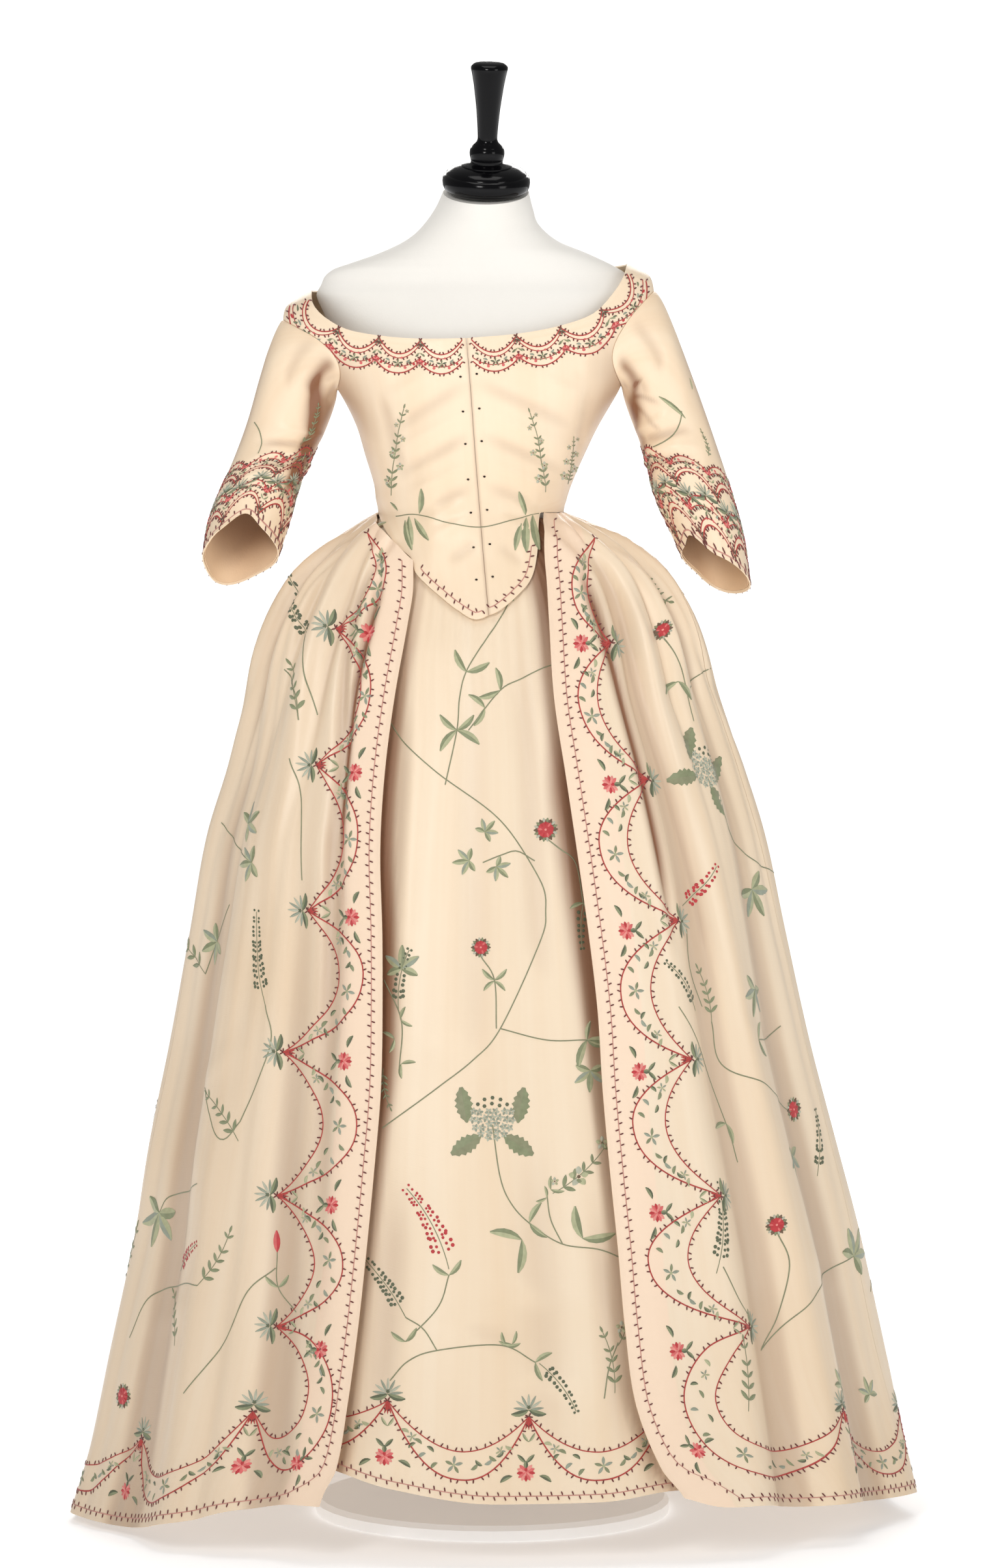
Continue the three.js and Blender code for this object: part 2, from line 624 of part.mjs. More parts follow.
// How deep a trough may be, so that the overskirt stays clear of the petticoat.
const troughLimit = linesOf(table('height depth', [
  [0, 15],
  [500, 11.5],
  [909, 10.5],
  [963, 9.5],
  [1000, 8],
  [1027, 5.5],
  [1048, 3],
  [1062, 1.6],
  [WAIST, 0.8],
]));

function softened(offset, limit) {
  return offset < 0 ? -limit * Math.tanh(-offset / limit) : offset;
}

// A point of a ring, moved out along the ring's own normal.
function movedOut(ring, angle, height, offset) {
  const normal = normalAt((p, q) => ringPoint(ring, p, q), angle, height, 90, 100);
  return ringPoint(ring, angle, height).addScaledVector(normal, offset);
}

// ---- overskirt ----

// The front edges: where they lie across at each height.
const frontEdges = linesOf(table('height left right', [
  [50, -180, 206],
  [75, -172, 192],
  [100, -159, 172],
  [165, -147.5, 146],
  [242, -137, 135],
  [321, -128.5, 128],
  [400, -121, 120],
  [479, -114.5, 113],
  [560, -113, 108],
  [638, -113.5, 99],
  [717, -116, 88],
  [798, -112, 76],
  [878, -102, 64],
  [958, -88, 59],
  [995, -83, 57],
  [1028, -84, 54.5],
  [WAIST, -90, 54],
]));

// The upper edge follows the lower edge of the bodice, from the front edge (0) round to the centre back (1).
const upperEdges = linesOf(table('share left right', [
  [0, 1020.5, WAIST],
  [0.046, 1038, WAIST],
  [0.094, 1049, WAIST],
  [0.15, 1056.5, WAIST],
  [0.207, 1062, WAIST],
  [0.26, 1067, WAIST],
  [0.345, WAIST, WAIST],
  [1, WAIST, WAIST],
]));

// The hem's height above the floor, from the front edge (0) round to the centre back (1).
const hemHeights = linesOf(table('share left right', [
  [0, 62, 70],
  [0.03, 62, 58],
  [0.08, 52, 54],
  [0.16, 26, 44],
  [0.24, 15, 38],
  [0.34, 7, 26],
  [0.45, 5, 15],
  [0.6, 5, 8],
  [0.8, 5, 5],
  [1, 5, 5],
]));

const PLEATS = 11; // on each side
const pleatDepth = linesOf(table('height depth', [
  [650, 0],
  [760, 2],
  [840, 4],
  [909, 6],
  [963, 7.5],
  [1000, 7],
  [1027, 5],
  [1048, 3],
  [1062, 1.5],
  [WAIST, 0.7],
]));

function overskirtPoint(name, share, height) {
  const side = name === 'left' ? -1 : 1;
  const edge = frontEdges[name](height) - overskirt.centre(height);
  const first = angleAcross(overskirt, edge, height);
  const angle = mix(first, HALF_TURN, share);
  const radius = (overskirt.half(height) + overskirt.back(height)) / 2;
  const fold = foldOffset(overskirtFolds, side * angle, height, radius);
  const pleated = smoothStep(0.08, 0.16, share) * Math.cos(2 * Math.PI * PLEATS * share);
  const offset = softened(fold + pleatDepth.depth(height) * pleated, troughLimit.depth(height));
  return movedOut(overskirt, side * angle, height, offset);
}

const SKIRT_ROWS = [0, 0.12, 0.26, 0.42, 0.56, 0.68, 0.78, 0.85, 0.9, 0.935, 0.96, 0.98, 0.993, 1];
const OVERSKIRT_WIDTHS = ['front', 'side', 'back'];
const OVERSKIRT_SPANS = [0.3, 120];

function addOverskirt() {
  const columns = [16, 14, 14];
  const joins = [0, 16 / 44, 30 / 44, 1];
  for (const [name, side] of [['left', -1], ['right', 1]]) {
    const surface = (share, height) => overskirtPoint(name, share, height);
    OVERSKIRT_WIDTHS.forEach((width, i) => {
      const net = (u, v) => {
        const share = mix(joins[i], joins[i + 1], u);
        const height = mix(hemHeights[name](share), upperEdges[name](share) - SEAM_GAP, v);
        const seam = SKIRT_GAP / 2 / (overskirt.half(height) * Math.PI * 0.9);
        const low = joins[i] + (i > 0 ? seam : 0);
        const high = joins[i + 1] - seam;
        return [mix(low, high, u), height];
      };
      const options = { wall: SKIRT_WALL, spans: OVERSKIRT_SPANS, side };
      addPiece(`overskirt_${width}_${name}`,
        wallUnder(surface, net, shares(columns[i]), SKIRT_ROWS, options), silk);
    });
  }
}

// ---- petticoat ----

const petticoatHem = linesOf(table('angle height', [
  [-180, 32],
  [-90, 38],
  [-60, 60],
  [-42, 88],
  [-28, 98],
  [-15, 80],
  [0, 67],
  [15, 67],
  [28, 74],
  [60, 56],
  [90, 38],
  [180, 32],
]));

function petticoatPoint(angle, height) {
  const radius = petticoat.half(height);
  const offset = foldOffset(petticoatFolds, angle, height, radius);
  return movedOut(petticoat, angle, height, offset);
}

const PETTICOAT_TOP = 1064;
const PETTICOAT_ROWS = [0, 0.14, 0.3, 0.46, 0.62, 0.77, 0.88, 0.94, 0.975, 0.992, 1];

function addPetticoat() {
  const widths = table('name from to columns', [
    ['front', -45, 45, 12],
    ['right', 45, 135, 8],
    ['back', 135, 225, 8],
    ['left', 225, 315, 8],
  ]);
  const wrap = (angle) => (angle > HALF_TURN ? angle - 2 * HALF_TURN : angle);
  for (const { name, from, to, columns } of widths) {
    const net = (u, v) => {
      const height = mix(petticoatHem.height(wrap(mix(from, to, u))), PETTICOAT_TOP, v);
      const seam = SKIRT_GAP / 2 / (petticoat.half(height) * RADIAN);
      return [mix(from + seam, to - seam, u), height];
    };
    const surface = (angle, height) => petticoatPoint(wrap(angle), height);
    addPiece(`petticoat_${name}`,
      wallUnder(surface, net, shares(columns), PETTICOAT_ROWS, { wall: SKIRT_WALL, spans: [90, 120] }), silk);
  }
}

addForm();
addBodice();
addSleeves();
addOverskirt();
addPetticoat();

export default robe;
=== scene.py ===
import math
import random
from functools import partial

import bpy
import numpy as np
from mathutils import Matrix, Vector


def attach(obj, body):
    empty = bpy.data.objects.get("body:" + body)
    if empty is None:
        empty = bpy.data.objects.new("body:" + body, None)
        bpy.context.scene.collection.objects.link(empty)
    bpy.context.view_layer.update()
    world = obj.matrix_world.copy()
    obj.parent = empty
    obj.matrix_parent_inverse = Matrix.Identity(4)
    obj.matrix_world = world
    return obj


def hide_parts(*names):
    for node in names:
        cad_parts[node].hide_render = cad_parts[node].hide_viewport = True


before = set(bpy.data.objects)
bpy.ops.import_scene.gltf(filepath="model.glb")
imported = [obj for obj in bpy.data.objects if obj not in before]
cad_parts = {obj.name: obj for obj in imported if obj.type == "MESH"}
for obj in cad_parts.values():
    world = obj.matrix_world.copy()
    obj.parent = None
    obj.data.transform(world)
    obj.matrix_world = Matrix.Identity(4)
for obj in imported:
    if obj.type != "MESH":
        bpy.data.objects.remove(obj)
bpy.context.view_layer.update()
print("frame loaded")

# Lines through short tables; lengths are in millimetres until a mesh is made.
radian = math.pi / 180


def smoothLine(xs, ys):  # never overshoots its points
    xs, ys = np.array(xs, float), np.array(ys, float)
    steps = np.diff(ys) / np.diff(xs)
    slopes = np.zeros(len(xs))
    slopes[0], slopes[-1] = steps[0], steps[-1]
    for i in range(1, len(xs) - 1):
        if steps[i - 1] * steps[i] > 0:
            mean = (ys[i + 1] - ys[i - 1]) / (xs[i + 1] - xs[i - 1])
            most = 3 * min(abs(steps[i - 1]), abs(steps[i]))
            slopes[i] = math.copysign(min(abs(mean), most), mean)

    def at(x):
        x = np.clip(np.asarray(x, float), xs[0], xs[-1])
        i = np.clip(np.searchsorted(xs, x) - 1, 0, len(xs) - 2)
        span = xs[i + 1] - xs[i]
        t = (x - xs[i]) / span
        rise = t * t * (3 - 2 * t)
        ease = t * (1 - t) ** 2 * slopes[i] - t * t * (1 - t) * slopes[i + 1]
        return ys[i] + (ys[i + 1] - ys[i]) * rise + span * ease

    return at


def tableLines(names, rows):
    columns = list(zip(*sorted(rows)))
    return {key: smoothLine(columns[0], column) for key, column in zip(names.split()[1:], columns[1:])}


def mix(a, b, t):
    return a + (b - a) * t


def smoothStep(low, high, x):
    t = np.clip((np.asarray(x, float) - low) / (high - low), 0, 1)
    return t * t * (3 - 2 * t)


# Rings: a body's cross-section at each height. Angle 0 is the front, 90 is +X and 180 the back.
ringNames = "height centre half front back roll pitch"
formRings = tableLines(ringNames, [
    (860, -20, 96, 68, 84, 0, 0), (872, -20, 114, 82, 98, 0, 0), (900, -21, 125, 90, 108, 0, 0),
    (950, -22, 128, 90, 112, 0, 0), (1000, -23, 116, 84, 98, 0, 0), (1040, -23, 99, 78, 81, 0, 0),
    (1055, -22.8, 95.1, 78, 75.6, 0, 0), (1070, -22.9, 95.1, 80, 74.4, 0, 0),
    (1085, -22.5, 98.8, 82, 76, 0, 0), (1100, -21, 101.9, 83.9, 77.2, 0, 0),
    (1130, -19, 112.6, 90.1, 83.2, 0, 0), (1163, -16, 125.7, 98.1, 90.2, 0, 0),
    (1200, -14.5, 144, 104.6, 96.6, 0, 0), (1230, -12, 151, 99, 99, 0, 0),
    (1260, -11, 159, 84, 98, 0, 0), (1285, -10, 171, 70, 92, 0, 0), (1300, -11, 176, 61, 84, 0, 0),
    (1312, -14, 168, 53, 75, 0, 0), (1322, -17, 160, 49.5, 70, 0, 0), (1328, -17, 152, 48.5, 68, 0, 0),
    (1334, -14, 138, 47.5, 66, 0, 0), (1346, -10, 108, 46.5, 63, 0, 0.04),
    (1358, -12, 81, 46, 57, 0, 0.1), (1374, -12, 62, 47, 48, 0, 0.18),
    (1392, -9, 52, 50, 40, 0, 0.25), (1410, -7, 45.5, 54, 34, 0, 0.3),
])
bodiceRings = tableLines(ringNames, [
    (960, -13, 207, 124.5, 121, 0, 0), (1003, -14, 183, 104, 102.5, 0, 0),
    (1032, -16, 151, 94, 93, 0, 0), (1055, -20, 117.3, 88, 87.4, 0, 0),
    (1064, -22.5, 103, 85.8, 81, 0, 0), (1070, -23, 98.8, 84.6, 77.8, 0, 0),
    (1085, -22.5, 101.8, 84.9, 78.8, 0, 0), (1100, -21, 105.2, 87.2, 80.2, 0, 0),
    (1130, -19, 116.2, 93.7, 86.2, 0, 0), (1163, -16, 129.2, 101.7, 93.2, 0, 0),
    (1200, -14, 149.4, 109.2, 101.4, 0.01, 0), (1230, -18, 166, 107, 106, 0.03, 0),
    (1260, -21, 187, 99, 108, 0.055, 0), (1285, -25, 197, 89, 104, 0.075, 0),
    (1303, -26, 194, 80, 97, 0.083, 0), (1320, -25, 168, 69, 86, 0.083, 0),
    (1340, -24, 130, 60, 74, 0.083, 0),
])
petticoatRings = tableLines(ringNames, [
    (20, 1, 418, 350, 446, 0, 0), (80, 2, 402, 340, 430, 0, 0), (173, 3, 383, 324, 406, 0, 0),
    (282, 3, 360, 300, 380, 0, 0), (400, -2, 337, 277, 352, 0, 0), (510, -5, 313, 253, 326, 0, 0),
    (628, -7, 291, 227, 300, 0, 0), (725, -8, 272, 201, 278, 0, 0), (838, -9, 238, 168, 247, 0, 0),
    (923, -13, 217, 137, 222, 0, 0), (965, -13, 201, 116, 204, 0, 0), (1003, -14, 178, 98, 178, 0, 0),
    (1032, -16, 146, 88.5, 143, 0, 0), (1055, -20, 108.6, 82, 103.5, 0, 0),
    (1064, -22.8, 97.7, 81.6, 77.8, 0, 0),
])
overskirtRings = tableLines(ringNames, [
    (0, 0, 447, 372, 480, 0, 0), (80, 3, 426, 358, 458, 0, 0), (173, 3, 407, 341, 432, 0, 0),
    (282, 3, 384, 318, 405, 0, 0), (400, -2, 360, 294, 376, 0, 0), (510, -5, 335, 270, 349, 0, 0),
    (628, -7, 312, 243, 322, 0, 0), (725, -8, 293, 217, 300, 0, 0), (796, -7, 271, 196, 281, 0, 0),
    (838, -9, 258, 183, 268, 0, 0), (880, -12, 246, 168, 255, 0, 0), (923, -13, 235, 151, 241, 0, 0),
    (965, -13, 218, 130, 222, 0, 0), (1003, -13, 194, 112, 194, 0, 0), (1032, -15, 161, 101, 158, 0, 0),
    (1055, -18, 125, 93, 120, 0, 0), (1064, -21, 108, 89, 99, 0, 0), (1070, -23, 99, 86.5, 81, 0, 0),
])


def ringPoints(ring, angle, height):
    angle, height = np.broadcast_arrays(np.asarray(angle, float), np.asarray(height, float))
    across = ring["half"](height) * np.sin(angle * radian)
    wrapped = (angle + 180) % 360 - 180
    depth = np.where(np.abs(wrapped) < 90, ring["front"](height), ring["back"](height))
    y = -depth * np.cos(angle * radian)
    z = height + ring["roll"](height) * across + ring["pitch"](height) * y
    return np.stack([ring["centre"](height) + across, y, z], -1)


def normalsOf(surface, p, q, stepP, stepQ):
    along = surface(p + stepP, q) - surface(p - stepP, q)
    up = surface(p, q + stepQ) - surface(p, q - stepQ)
    normal = np.cross(along, up)
    return normal / np.maximum(np.linalg.norm(normal, axis=-1, keepdims=True), 1e-9)


def movedOut(ring, angle, height, offset):
    def plain(a, h):
        return ringPoints(ring, a, h)

    offset = np.asarray(offset, float)[..., None]
    return plain(angle, height) + normalsOf(plain, angle, height, 0.9, 1.0) * offset


def turnAcross(ring, x, height):  # the angle at which a ring lies that far across
    share = (x - ring["centre"](height)) / ring["half"](height)
    return np.arcsin(np.clip(share, -0.9999, 0.9999)) / radian


def fromFront(ring, x, z):  # the ring's angle and height at a point seen from the front
    height = np.asarray(z, float)
    for _ in range(4):
        height = z - ring["roll"](height) * (x - ring["centre"](height))
    return turnAcross(ring, x, height), height


# Camera, lamps and stage, in metres.
cameraLook = {"place": (0, -6.0, 1.10), "tilt": 3.05, "lens": 129.2}
stageLook = {"half": 16.0, "near": 0.46, "far": 1.05, "from": 1.2, "over": 2.5,
             "colour": (0.93, 0.93, 0.935)}
worldLook = {"colour": (1, 0.995, 0.985, 1), "ambient": 0.26, "behind": 1.2}
lampLooks = [  # name, place, aimed at, size, watts
    ("keyLamp", (-1.2, -4.3, 2.9), (0, 0, 0.85), (1.0, 1.6), 70),
    ("fillLamp", (2.8, -3.0, 2.1), (0, 0, 0.85), (1.2, 2.0), 27),
    ("topLamp", (0, -0.6, 4.1), (0, 0, 0.6), (2.0, 1.6), 26),
    ("backLamp", (0.0, 3.4, 2.8), (0, 0, 0.8), (3.0, 1.2), 60),
]


def placed(name, data):  # a new object at the origin, in the scene
    thing = bpy.data.objects.new(name, data)
    bpy.context.scene.collection.objects.link(thing)
    return thing


def addCamera(look):
    data = bpy.data.cameras.new("camera")
    data.lens, data.sensor_width, data.clip_end = look["lens"], 36, 60
    camera = placed("camera", data)
    camera.location = look["place"]
    camera.rotation_euler = ((90 - look["tilt"]) * radian, 0, 0)
    bpy.context.scene.camera = camera


def addLamp(name, place, target, size, watts):
    data = bpy.data.lights.new(name, "AREA")
    data.shape, data.size, data.size_y, data.energy = "RECTANGLE", size[0], size[1], watts
    data.color = (1, 0.985, 0.965)
    aim = (Vector(target) - Vector(place)).to_track_quat("-Z", "Y").to_matrix().to_4x4()
    placed(name, data).matrix_world = Matrix.Translation(place) @ aim


def addWorld(look):  # soft grey light all round, in front of plain white
    world = bpy.data.worlds.new("studio")
    world.use_nodes = True
    tree = world.node_tree
    background = tree.nodes["Background"]
    background.inputs["Color"].default_value = look["colour"]
    path, scale = tree.nodes.new("ShaderNodeLightPath"), tree.nodes.new("ShaderNodeMath")
    scale.operation = "MULTIPLY_ADD"
    scale.inputs[1].default_value = look["behind"] - look["ambient"]
    scale.inputs[2].default_value = look["ambient"]
    tree.links.new(path.outputs["Is Camera Ray"], scale.inputs[0])
    tree.links.new(scale.outputs[0], background.inputs["Strength"])
    bpy.context.scene.world = world


addCamera(cameraLook)
for lampLook in lampLooks:
    addLamp(*lampLook)
addWorld(worldLook)
bpy.context.scene.view_settings.view_transform = "Standard"


class Wire:  # a socket, on which maths is written as it is on numbers
    def __init__(self, shader, socket):
        self.shader, self.socket = shader, socket

    def maths(self, operation, first, second):
        return self.shader.add("ShaderNodeMath", {"operation": operation}, {0: first, 1: second})

    def held(self, low=0, high=1):  # kept between two values
        return self.maths("MINIMUM", self.maths("MAXIMUM", self, low), high)


for sign, operation in (("add", "ADD"), ("sub", "SUBTRACT"), ("mul", "MULTIPLY"), ("truediv", "DIVIDE")):
    setattr(Wire, f"__{sign}__", lambda one, other, kind=operation: one.maths(kind, one, other))
    setattr(Wire, f"__r{sign}__", lambda one, other, kind=operation: one.maths(kind, other, one))


class Shader:
    def __init__(self, name):
        self.material = bpy.data.materials.new(name)
        self.material.use_nodes = True
        self.tree = self.material.node_tree
        self.tree.nodes.clear()

    def add(self, kind, settings, sockets, output=0):  # a node: its settings first, then values or links
        node = self.tree.nodes.new(kind)
        for key, value in settings.items():
            setattr(node, key, value)
        for key, value in sockets.items():
            if isinstance(value, Wire):
                self.tree.links.new(value.socket, node.inputs[key])
            else:
                node.inputs[key].default_value = value
        return Wire(self, node.outputs[output] if len(node.outputs) else None)

    def noise(self, place, scale, size, detail=2.0, roughness=0.5):
        placed = self.add("ShaderNodeMapping", {}, {"Vector": place, "Scale": scale})
        return self.add("ShaderNodeTexNoise", {}, {"Vector": placed, "Scale": size, "Detail": detail,
                                                  "Roughness": roughness})

    def blend(self, factor, first, second):
        return self.add("ShaderNodeMix", {"data_type": "RGBA"}, {0: factor, 6: first, 7: second}, 2)

    def finish(self, sockets, height=None, depth=0.001, strength=1.0):
        if height is not None:
            sockets["Normal"] = self.add("ShaderNodeBump", {}, {
                "Height": height, "Distance": depth, "Strength": strength})
        surface = self.add("ShaderNodeBsdfPrincipled", {}, sockets)
        self.add("ShaderNodeOutputMaterial", {}, {"Surface": surface})
        return self.material


def paint(*screen):  # a screen colour as the linear values that shaders take
    return (*[c / 255 / 12.92 if c <= 10 else ((c / 255 + 0.055) / 1.055) ** 2.4 for c in screen], 1)


# The shade colour is painted shade: the brown that shadow gives the silk in its folds.
silkLook = {
    "light": paint(247, 230, 205), "dark": paint(239, 214, 182), "strip": paint(250, 222, 196),
    "stain": paint(226, 194, 152), "shade": paint(124, 68, 30), "roughness": 0.4, "sheen": 0.1,
    "stripWidth": 0.05,
}


def silkMaterial(name, look, stripped=False):
    shader = Shader(name)
    place = shader.add("ShaderNodeUVMap", {"uv_map": "cloth"}, {})
    solid = shader.add("ShaderNodeTexCoord", {}, {}, 3)
    streaks = shader.noise(place, (26, 1.1, 1), 1.0, 3.0, 0.6)
    bands = shader.noise(place, (5, 0.6, 1), 1.0, 1.0, 0.4)
    cloud = shader.noise(solid, (1, 1, 1), 3.2, 2.0, 0.5)
    water = (streaks - 0.5) * 1.3 + (bands - 0.5) * 0.9 + 0.5
    colour = shader.blend(water.held(), look["light"], look["dark"])
    colour = shader.blend(((cloud - 0.55) * 1.6).held(0, 0.35), colour, look["stain"])
    if stripped:
        edge = shader.add("ShaderNodeAttribute", {"attribute_name": "fromEdge"}, {}, 2)
        inStrip = ((look["stripWidth"] - edge) * 260).held(0, 0.75)
        colour = shader.blend(inStrip, colour, look["strip"])
    # Painted shade: the colour goes towards the shade brown where the shade attribute marks shadow.
    depth = shader.add("ShaderNodeAttribute", {"attribute_name": "shade"}, {}, 2)
    colour = shader.blend(depth.held(0, 0.92), colour, look["shade"])
    weft = shader.noise(place, (260, 2600, 1), 1.0, 2.0, 0.6)
    slubs = shader.noise(place, (22, 700, 1), 1.0, 2.0, 0.5)
    crumple = shader.noise(solid, (1.0, 1.0, 0.55), 16.0, 4.0, 0.55)
    height = weft * 0.05 + slubs * 0.07 + crumple * 0.9 + streaks * 0.12
    return shader.finish({
        "Base Color": colour, "Roughness": (streaks - 0.5) * 0.12 + look["roughness"],
        "Sheen Weight": look["sheen"], "Sheen Roughness": 0.35, "Specular IOR Level": 0.5,
    }, height, 0.0022, 0.42)


def plainClothMaterial(name, light, dark, fineness, roughness, relief):
    shader = Shader(name)
    solid = shader.add("ShaderNodeTexCoord", {}, {}, 3)
    mottle = shader.noise(solid, (1, 1, 1), 5.0, 3.0)
    knit = shader.noise(solid, (1, 1, 0.4), fineness, 2.0)
    colour = shader.blend(((mottle - 0.35) * 2).held(), light, dark)
    # Painted shade: the colour goes towards brown where the shade attribute marks shadow.
    depth = shader.add("ShaderNodeAttribute", {"attribute_name": "shade"}, {}, 2)
    colour = shader.blend(depth.held(0, 0.85), colour, silkLook["shade"])
    return shader.finish({"Base Color": colour, "Roughness": mottle * 0.06 + roughness, "Sheen Weight": 0.15},
                         knit * 0.6 + mottle * 0.4, relief, 0.5)


def glossMaterial(name, colour, worn, roughness, metallic, mirror, glow=0.0):
    shader = Shader(name)
    solid = shader.add("ShaderNodeTexCoord", {}, {}, 3)
    grain = shader.noise(solid, (1, 1, 0.2), 90.0, 3.0)
    haze = shader.noise(solid, (1, 1, 1), 22.0, 3.0)
    finish = shader.blend(((haze - 0.5) * 2).held(), colour, worn)
    return shader.finish({"Base Color": finish, "Roughness": haze * 0.06 + roughness, "Metallic": metallic,
                          "Specular IOR Level": mirror, "Emission Color": finish,
                          "Emission Strength": glow}, grain, 0.0002, 0.12)


def threadMaterial(name):
    shader = Shader(name)
    tint = shader.add("ShaderNodeAttribute", {"attribute_name": "tint"}, {})
    solid = shader.add("ShaderNodeTexCoord", {}, {}, 3)
    strands = shader.noise(solid, (1, 1, 0.35), 1500.0, 2.0)
    patches = shader.noise(solid, (1, 1, 1), 160.0, 2.0)
    darker = shader.add("ShaderNodeMix", {"data_type": "RGBA", "blend_type": "MULTIPLY"},
                        {0: ((patches - 0.3) * 1.2).held(0, 0.55), 6: tint, 7: (0.62, 0.6, 0.56, 1)}, 2)
    return shader.finish({"Base Color": darker, "Roughness": strands * 0.15 + 0.42, "Sheen Weight": 0.2},
                         strands, 0.0003, 0.5)


silk = silkMaterial("creamSilk", silkLook)
# Painted light: bodice and sleeves take a copy of the same silk painted a little lighter, standing in for the
# brighter light on them.
bodicePaintedLight = {"light": paint(251, 232, 205), "dark": paint(242, 214, 180)}
bodiceSilk = silkMaterial("bodiceSilk", {**silkLook, **bodicePaintedLight})
borderSilk = silkMaterial("creamSilkWithStrip", silkLook, True)
peachLining = plainClothMaterial("peachLining", paint(244, 214, 178), paint(224, 182, 140), 700.0, 0.72,
                                 0.0006)
jersey = plainClothMaterial("whiteJersey", paint(242, 239, 233), paint(234, 230, 222), 900.0, 0.8, 0.0005)
blackLacquer = glossMaterial("blackLacquer", paint(7, 7, 9), paint(13, 12, 14), 0.1, 0.0, 0.17)
# Painted light: the white base glows a little, so that it fades into the floor.
whiteEnamel = glossMaterial("whiteEnamel", paint(250, 250, 250), paint(246, 246, 246), 0.7, 0.0, 0.5, 0.3)
satinIron = glossMaterial("satinIron", paint(30, 30, 33), paint(44, 43, 44), 0.4, 0.5, 0.5)
thread = threadMaterial("silkThread")
hookMetal = glossMaterial("darkHooks", paint(58, 50, 44), paint(96, 84, 70), 0.36, 0.8, 0.5)


def addStage(look):  # a pale floor that glows more with distance
    half, colour = look["half"], look["colour"]
    mesh = bpy.data.meshes.new("studioFloor")
    corners = [(-half, -half, 0), (half, -half, 0), (half, half, 0), (-half, half, 0)]
    mesh.from_pydata(corners, [], [(0, 1, 2, 3)])
    shader = Shader("palePaper")
    solid = shader.add("ShaderNodeTexCoord", {}, {}, 3)
    tooth = shader.noise(solid, (1, 1, 1), 8.0, 2.0)
    pale = shader.blend(tooth, (*colour, 1), (*[c * 0.985 for c in colour], 1))
    away = shader.add("ShaderNodeVectorMath", {"operation": "LENGTH"}, {0: solid}, 1)
    near, far = ((*[c * look[key] for c in colour], 1) for key in ("near", "far"))
    glow = shader.blend(((away - look["from"]) * (1 / look["over"])).held(), near, far)
    mesh.materials.append(shader.finish({"Base Color": pale, "Roughness": 0.9, "Emission Color": glow,
                                        "Emission Strength": 1.0}))
    placed("studioFloor", mesh)


addStage(stageLook)
print("camera, lamps, stage and finishes made")


def meshObject(name, points, faces, material, sharp=None):  # the points are in millimetres
    mesh = bpy.data.meshes.new(name)
    mesh.from_pydata((np.asarray(points) / 1000).tolist(), [], faces)
    mesh.shade_smooth()
    if sharp:
        mesh.set_sharp_from_angle(angle=sharp * radian)
    mesh.materials.append(material)
    return placed(name, mesh)


def addMarks(mesh, key, kind, values):  # values at the points, for a material or a node tree
    layer = mesh.attributes.new(key, kind, "POINT")
    field = {"FLOAT": "value", "FLOAT_VECTOR": "vector", "FLOAT_COLOR": "color"}[kind]
    layer.data.foreach_set(field, np.asarray(values, np.float32).ravel())


def clothShell(name, surface, net, columns, rows, cloth, material):  # two faces, a wall's width apart
    p, q = net(*np.meshgrid(columns, rows))
    out = normalsOf(surface, p, q, *cloth["steps"]) * cloth["side"]
    outer = surface(p, q) - out * cloth.get("sunk", 0)
    inner = outer - out * cloth["wall"]
    closed = cloth.get("closed", False)
    rowCount, columnCount = p.shape
    wrapped = np.concatenate([outer, outer[:, :1]], 1) if closed else outer
    around, up = np.zeros((2, *wrapped.shape[:2]))
    around[:, 1:] = np.cumsum(np.linalg.norm(np.diff(wrapped, axis=1), axis=2), 1)
    up[1:] = np.cumsum(np.linalg.norm(np.diff(wrapped, axis=0), axis=2), 0)
    if "flatWidth" in cloth:
        around = np.broadcast_to(np.asarray(columns) * cloth["flatWidth"], around.shape)
    uv = np.stack([around, up], -1) / 1000

    def strip(rows, columns, *corners):  # a run of quads; each corner is a face, a row step and a column step
        j, i = (a.ravel() for a in np.meshgrid(rows, columns, indexing="ij"))
        return np.stack([np.stack([face * p.size + (j + down) * columnCount + (i + over) % columnCount,
                                   j + down, i + over], -1) for face, down, over in corners], 1)

    lowRows, leftColumns = np.arange(rowCount - 1), np.arange(columnCount if closed else columnCount - 1)
    cells = [strip(lowRows, leftColumns, (0, 0, 0), (0, 0, 1), (0, 1, 1), (0, 1, 0)),
             strip(lowRows, leftColumns, (1, 0, 0), (1, 1, 0), (1, 1, 1), (1, 0, 1)),
             strip([0], leftColumns, (1, 0, 0), (1, 0, 1), (0, 0, 1), (0, 0, 0)),
             strip([rowCount - 1], leftColumns, (0, 0, 0), (0, 0, 1), (1, 0, 1), (1, 0, 0))]
    if not closed:
        cells += [strip(lowRows, [0], (1, 0, 0), (0, 0, 0), (0, 1, 0), (1, 1, 0)),
                  strip(lowRows, [columnCount - 1], (0, 0, 0), (1, 0, 0), (1, 1, 0), (0, 1, 0))]
    cells = np.concatenate(cells)
    sense = np.cross(outer[0, 1] - outer[0, 0], outer[1, 0] - outer[0, 0])
    if np.dot(sense, out[0, 0]) < 0:
        cells = cells[:, ::-1]
    points = np.concatenate([outer.reshape(-1, 3), inner.reshape(-1, 3)])
    piece = meshObject(name, points, cells[..., 0].tolist(), material, 48)
    layer = piece.data.uv_layers.new(name="cloth")
    layer.data.foreach_set("uv", uv[cells[..., 1], cells[..., 2]].astype(np.float32).ravel())
    for key in ("fromEdge", "shade"):
        if key in cloth:
            addMarks(piece.data, key, "FLOAT", np.tile(cloth[key](p, q).ravel(), 2))
    return piece


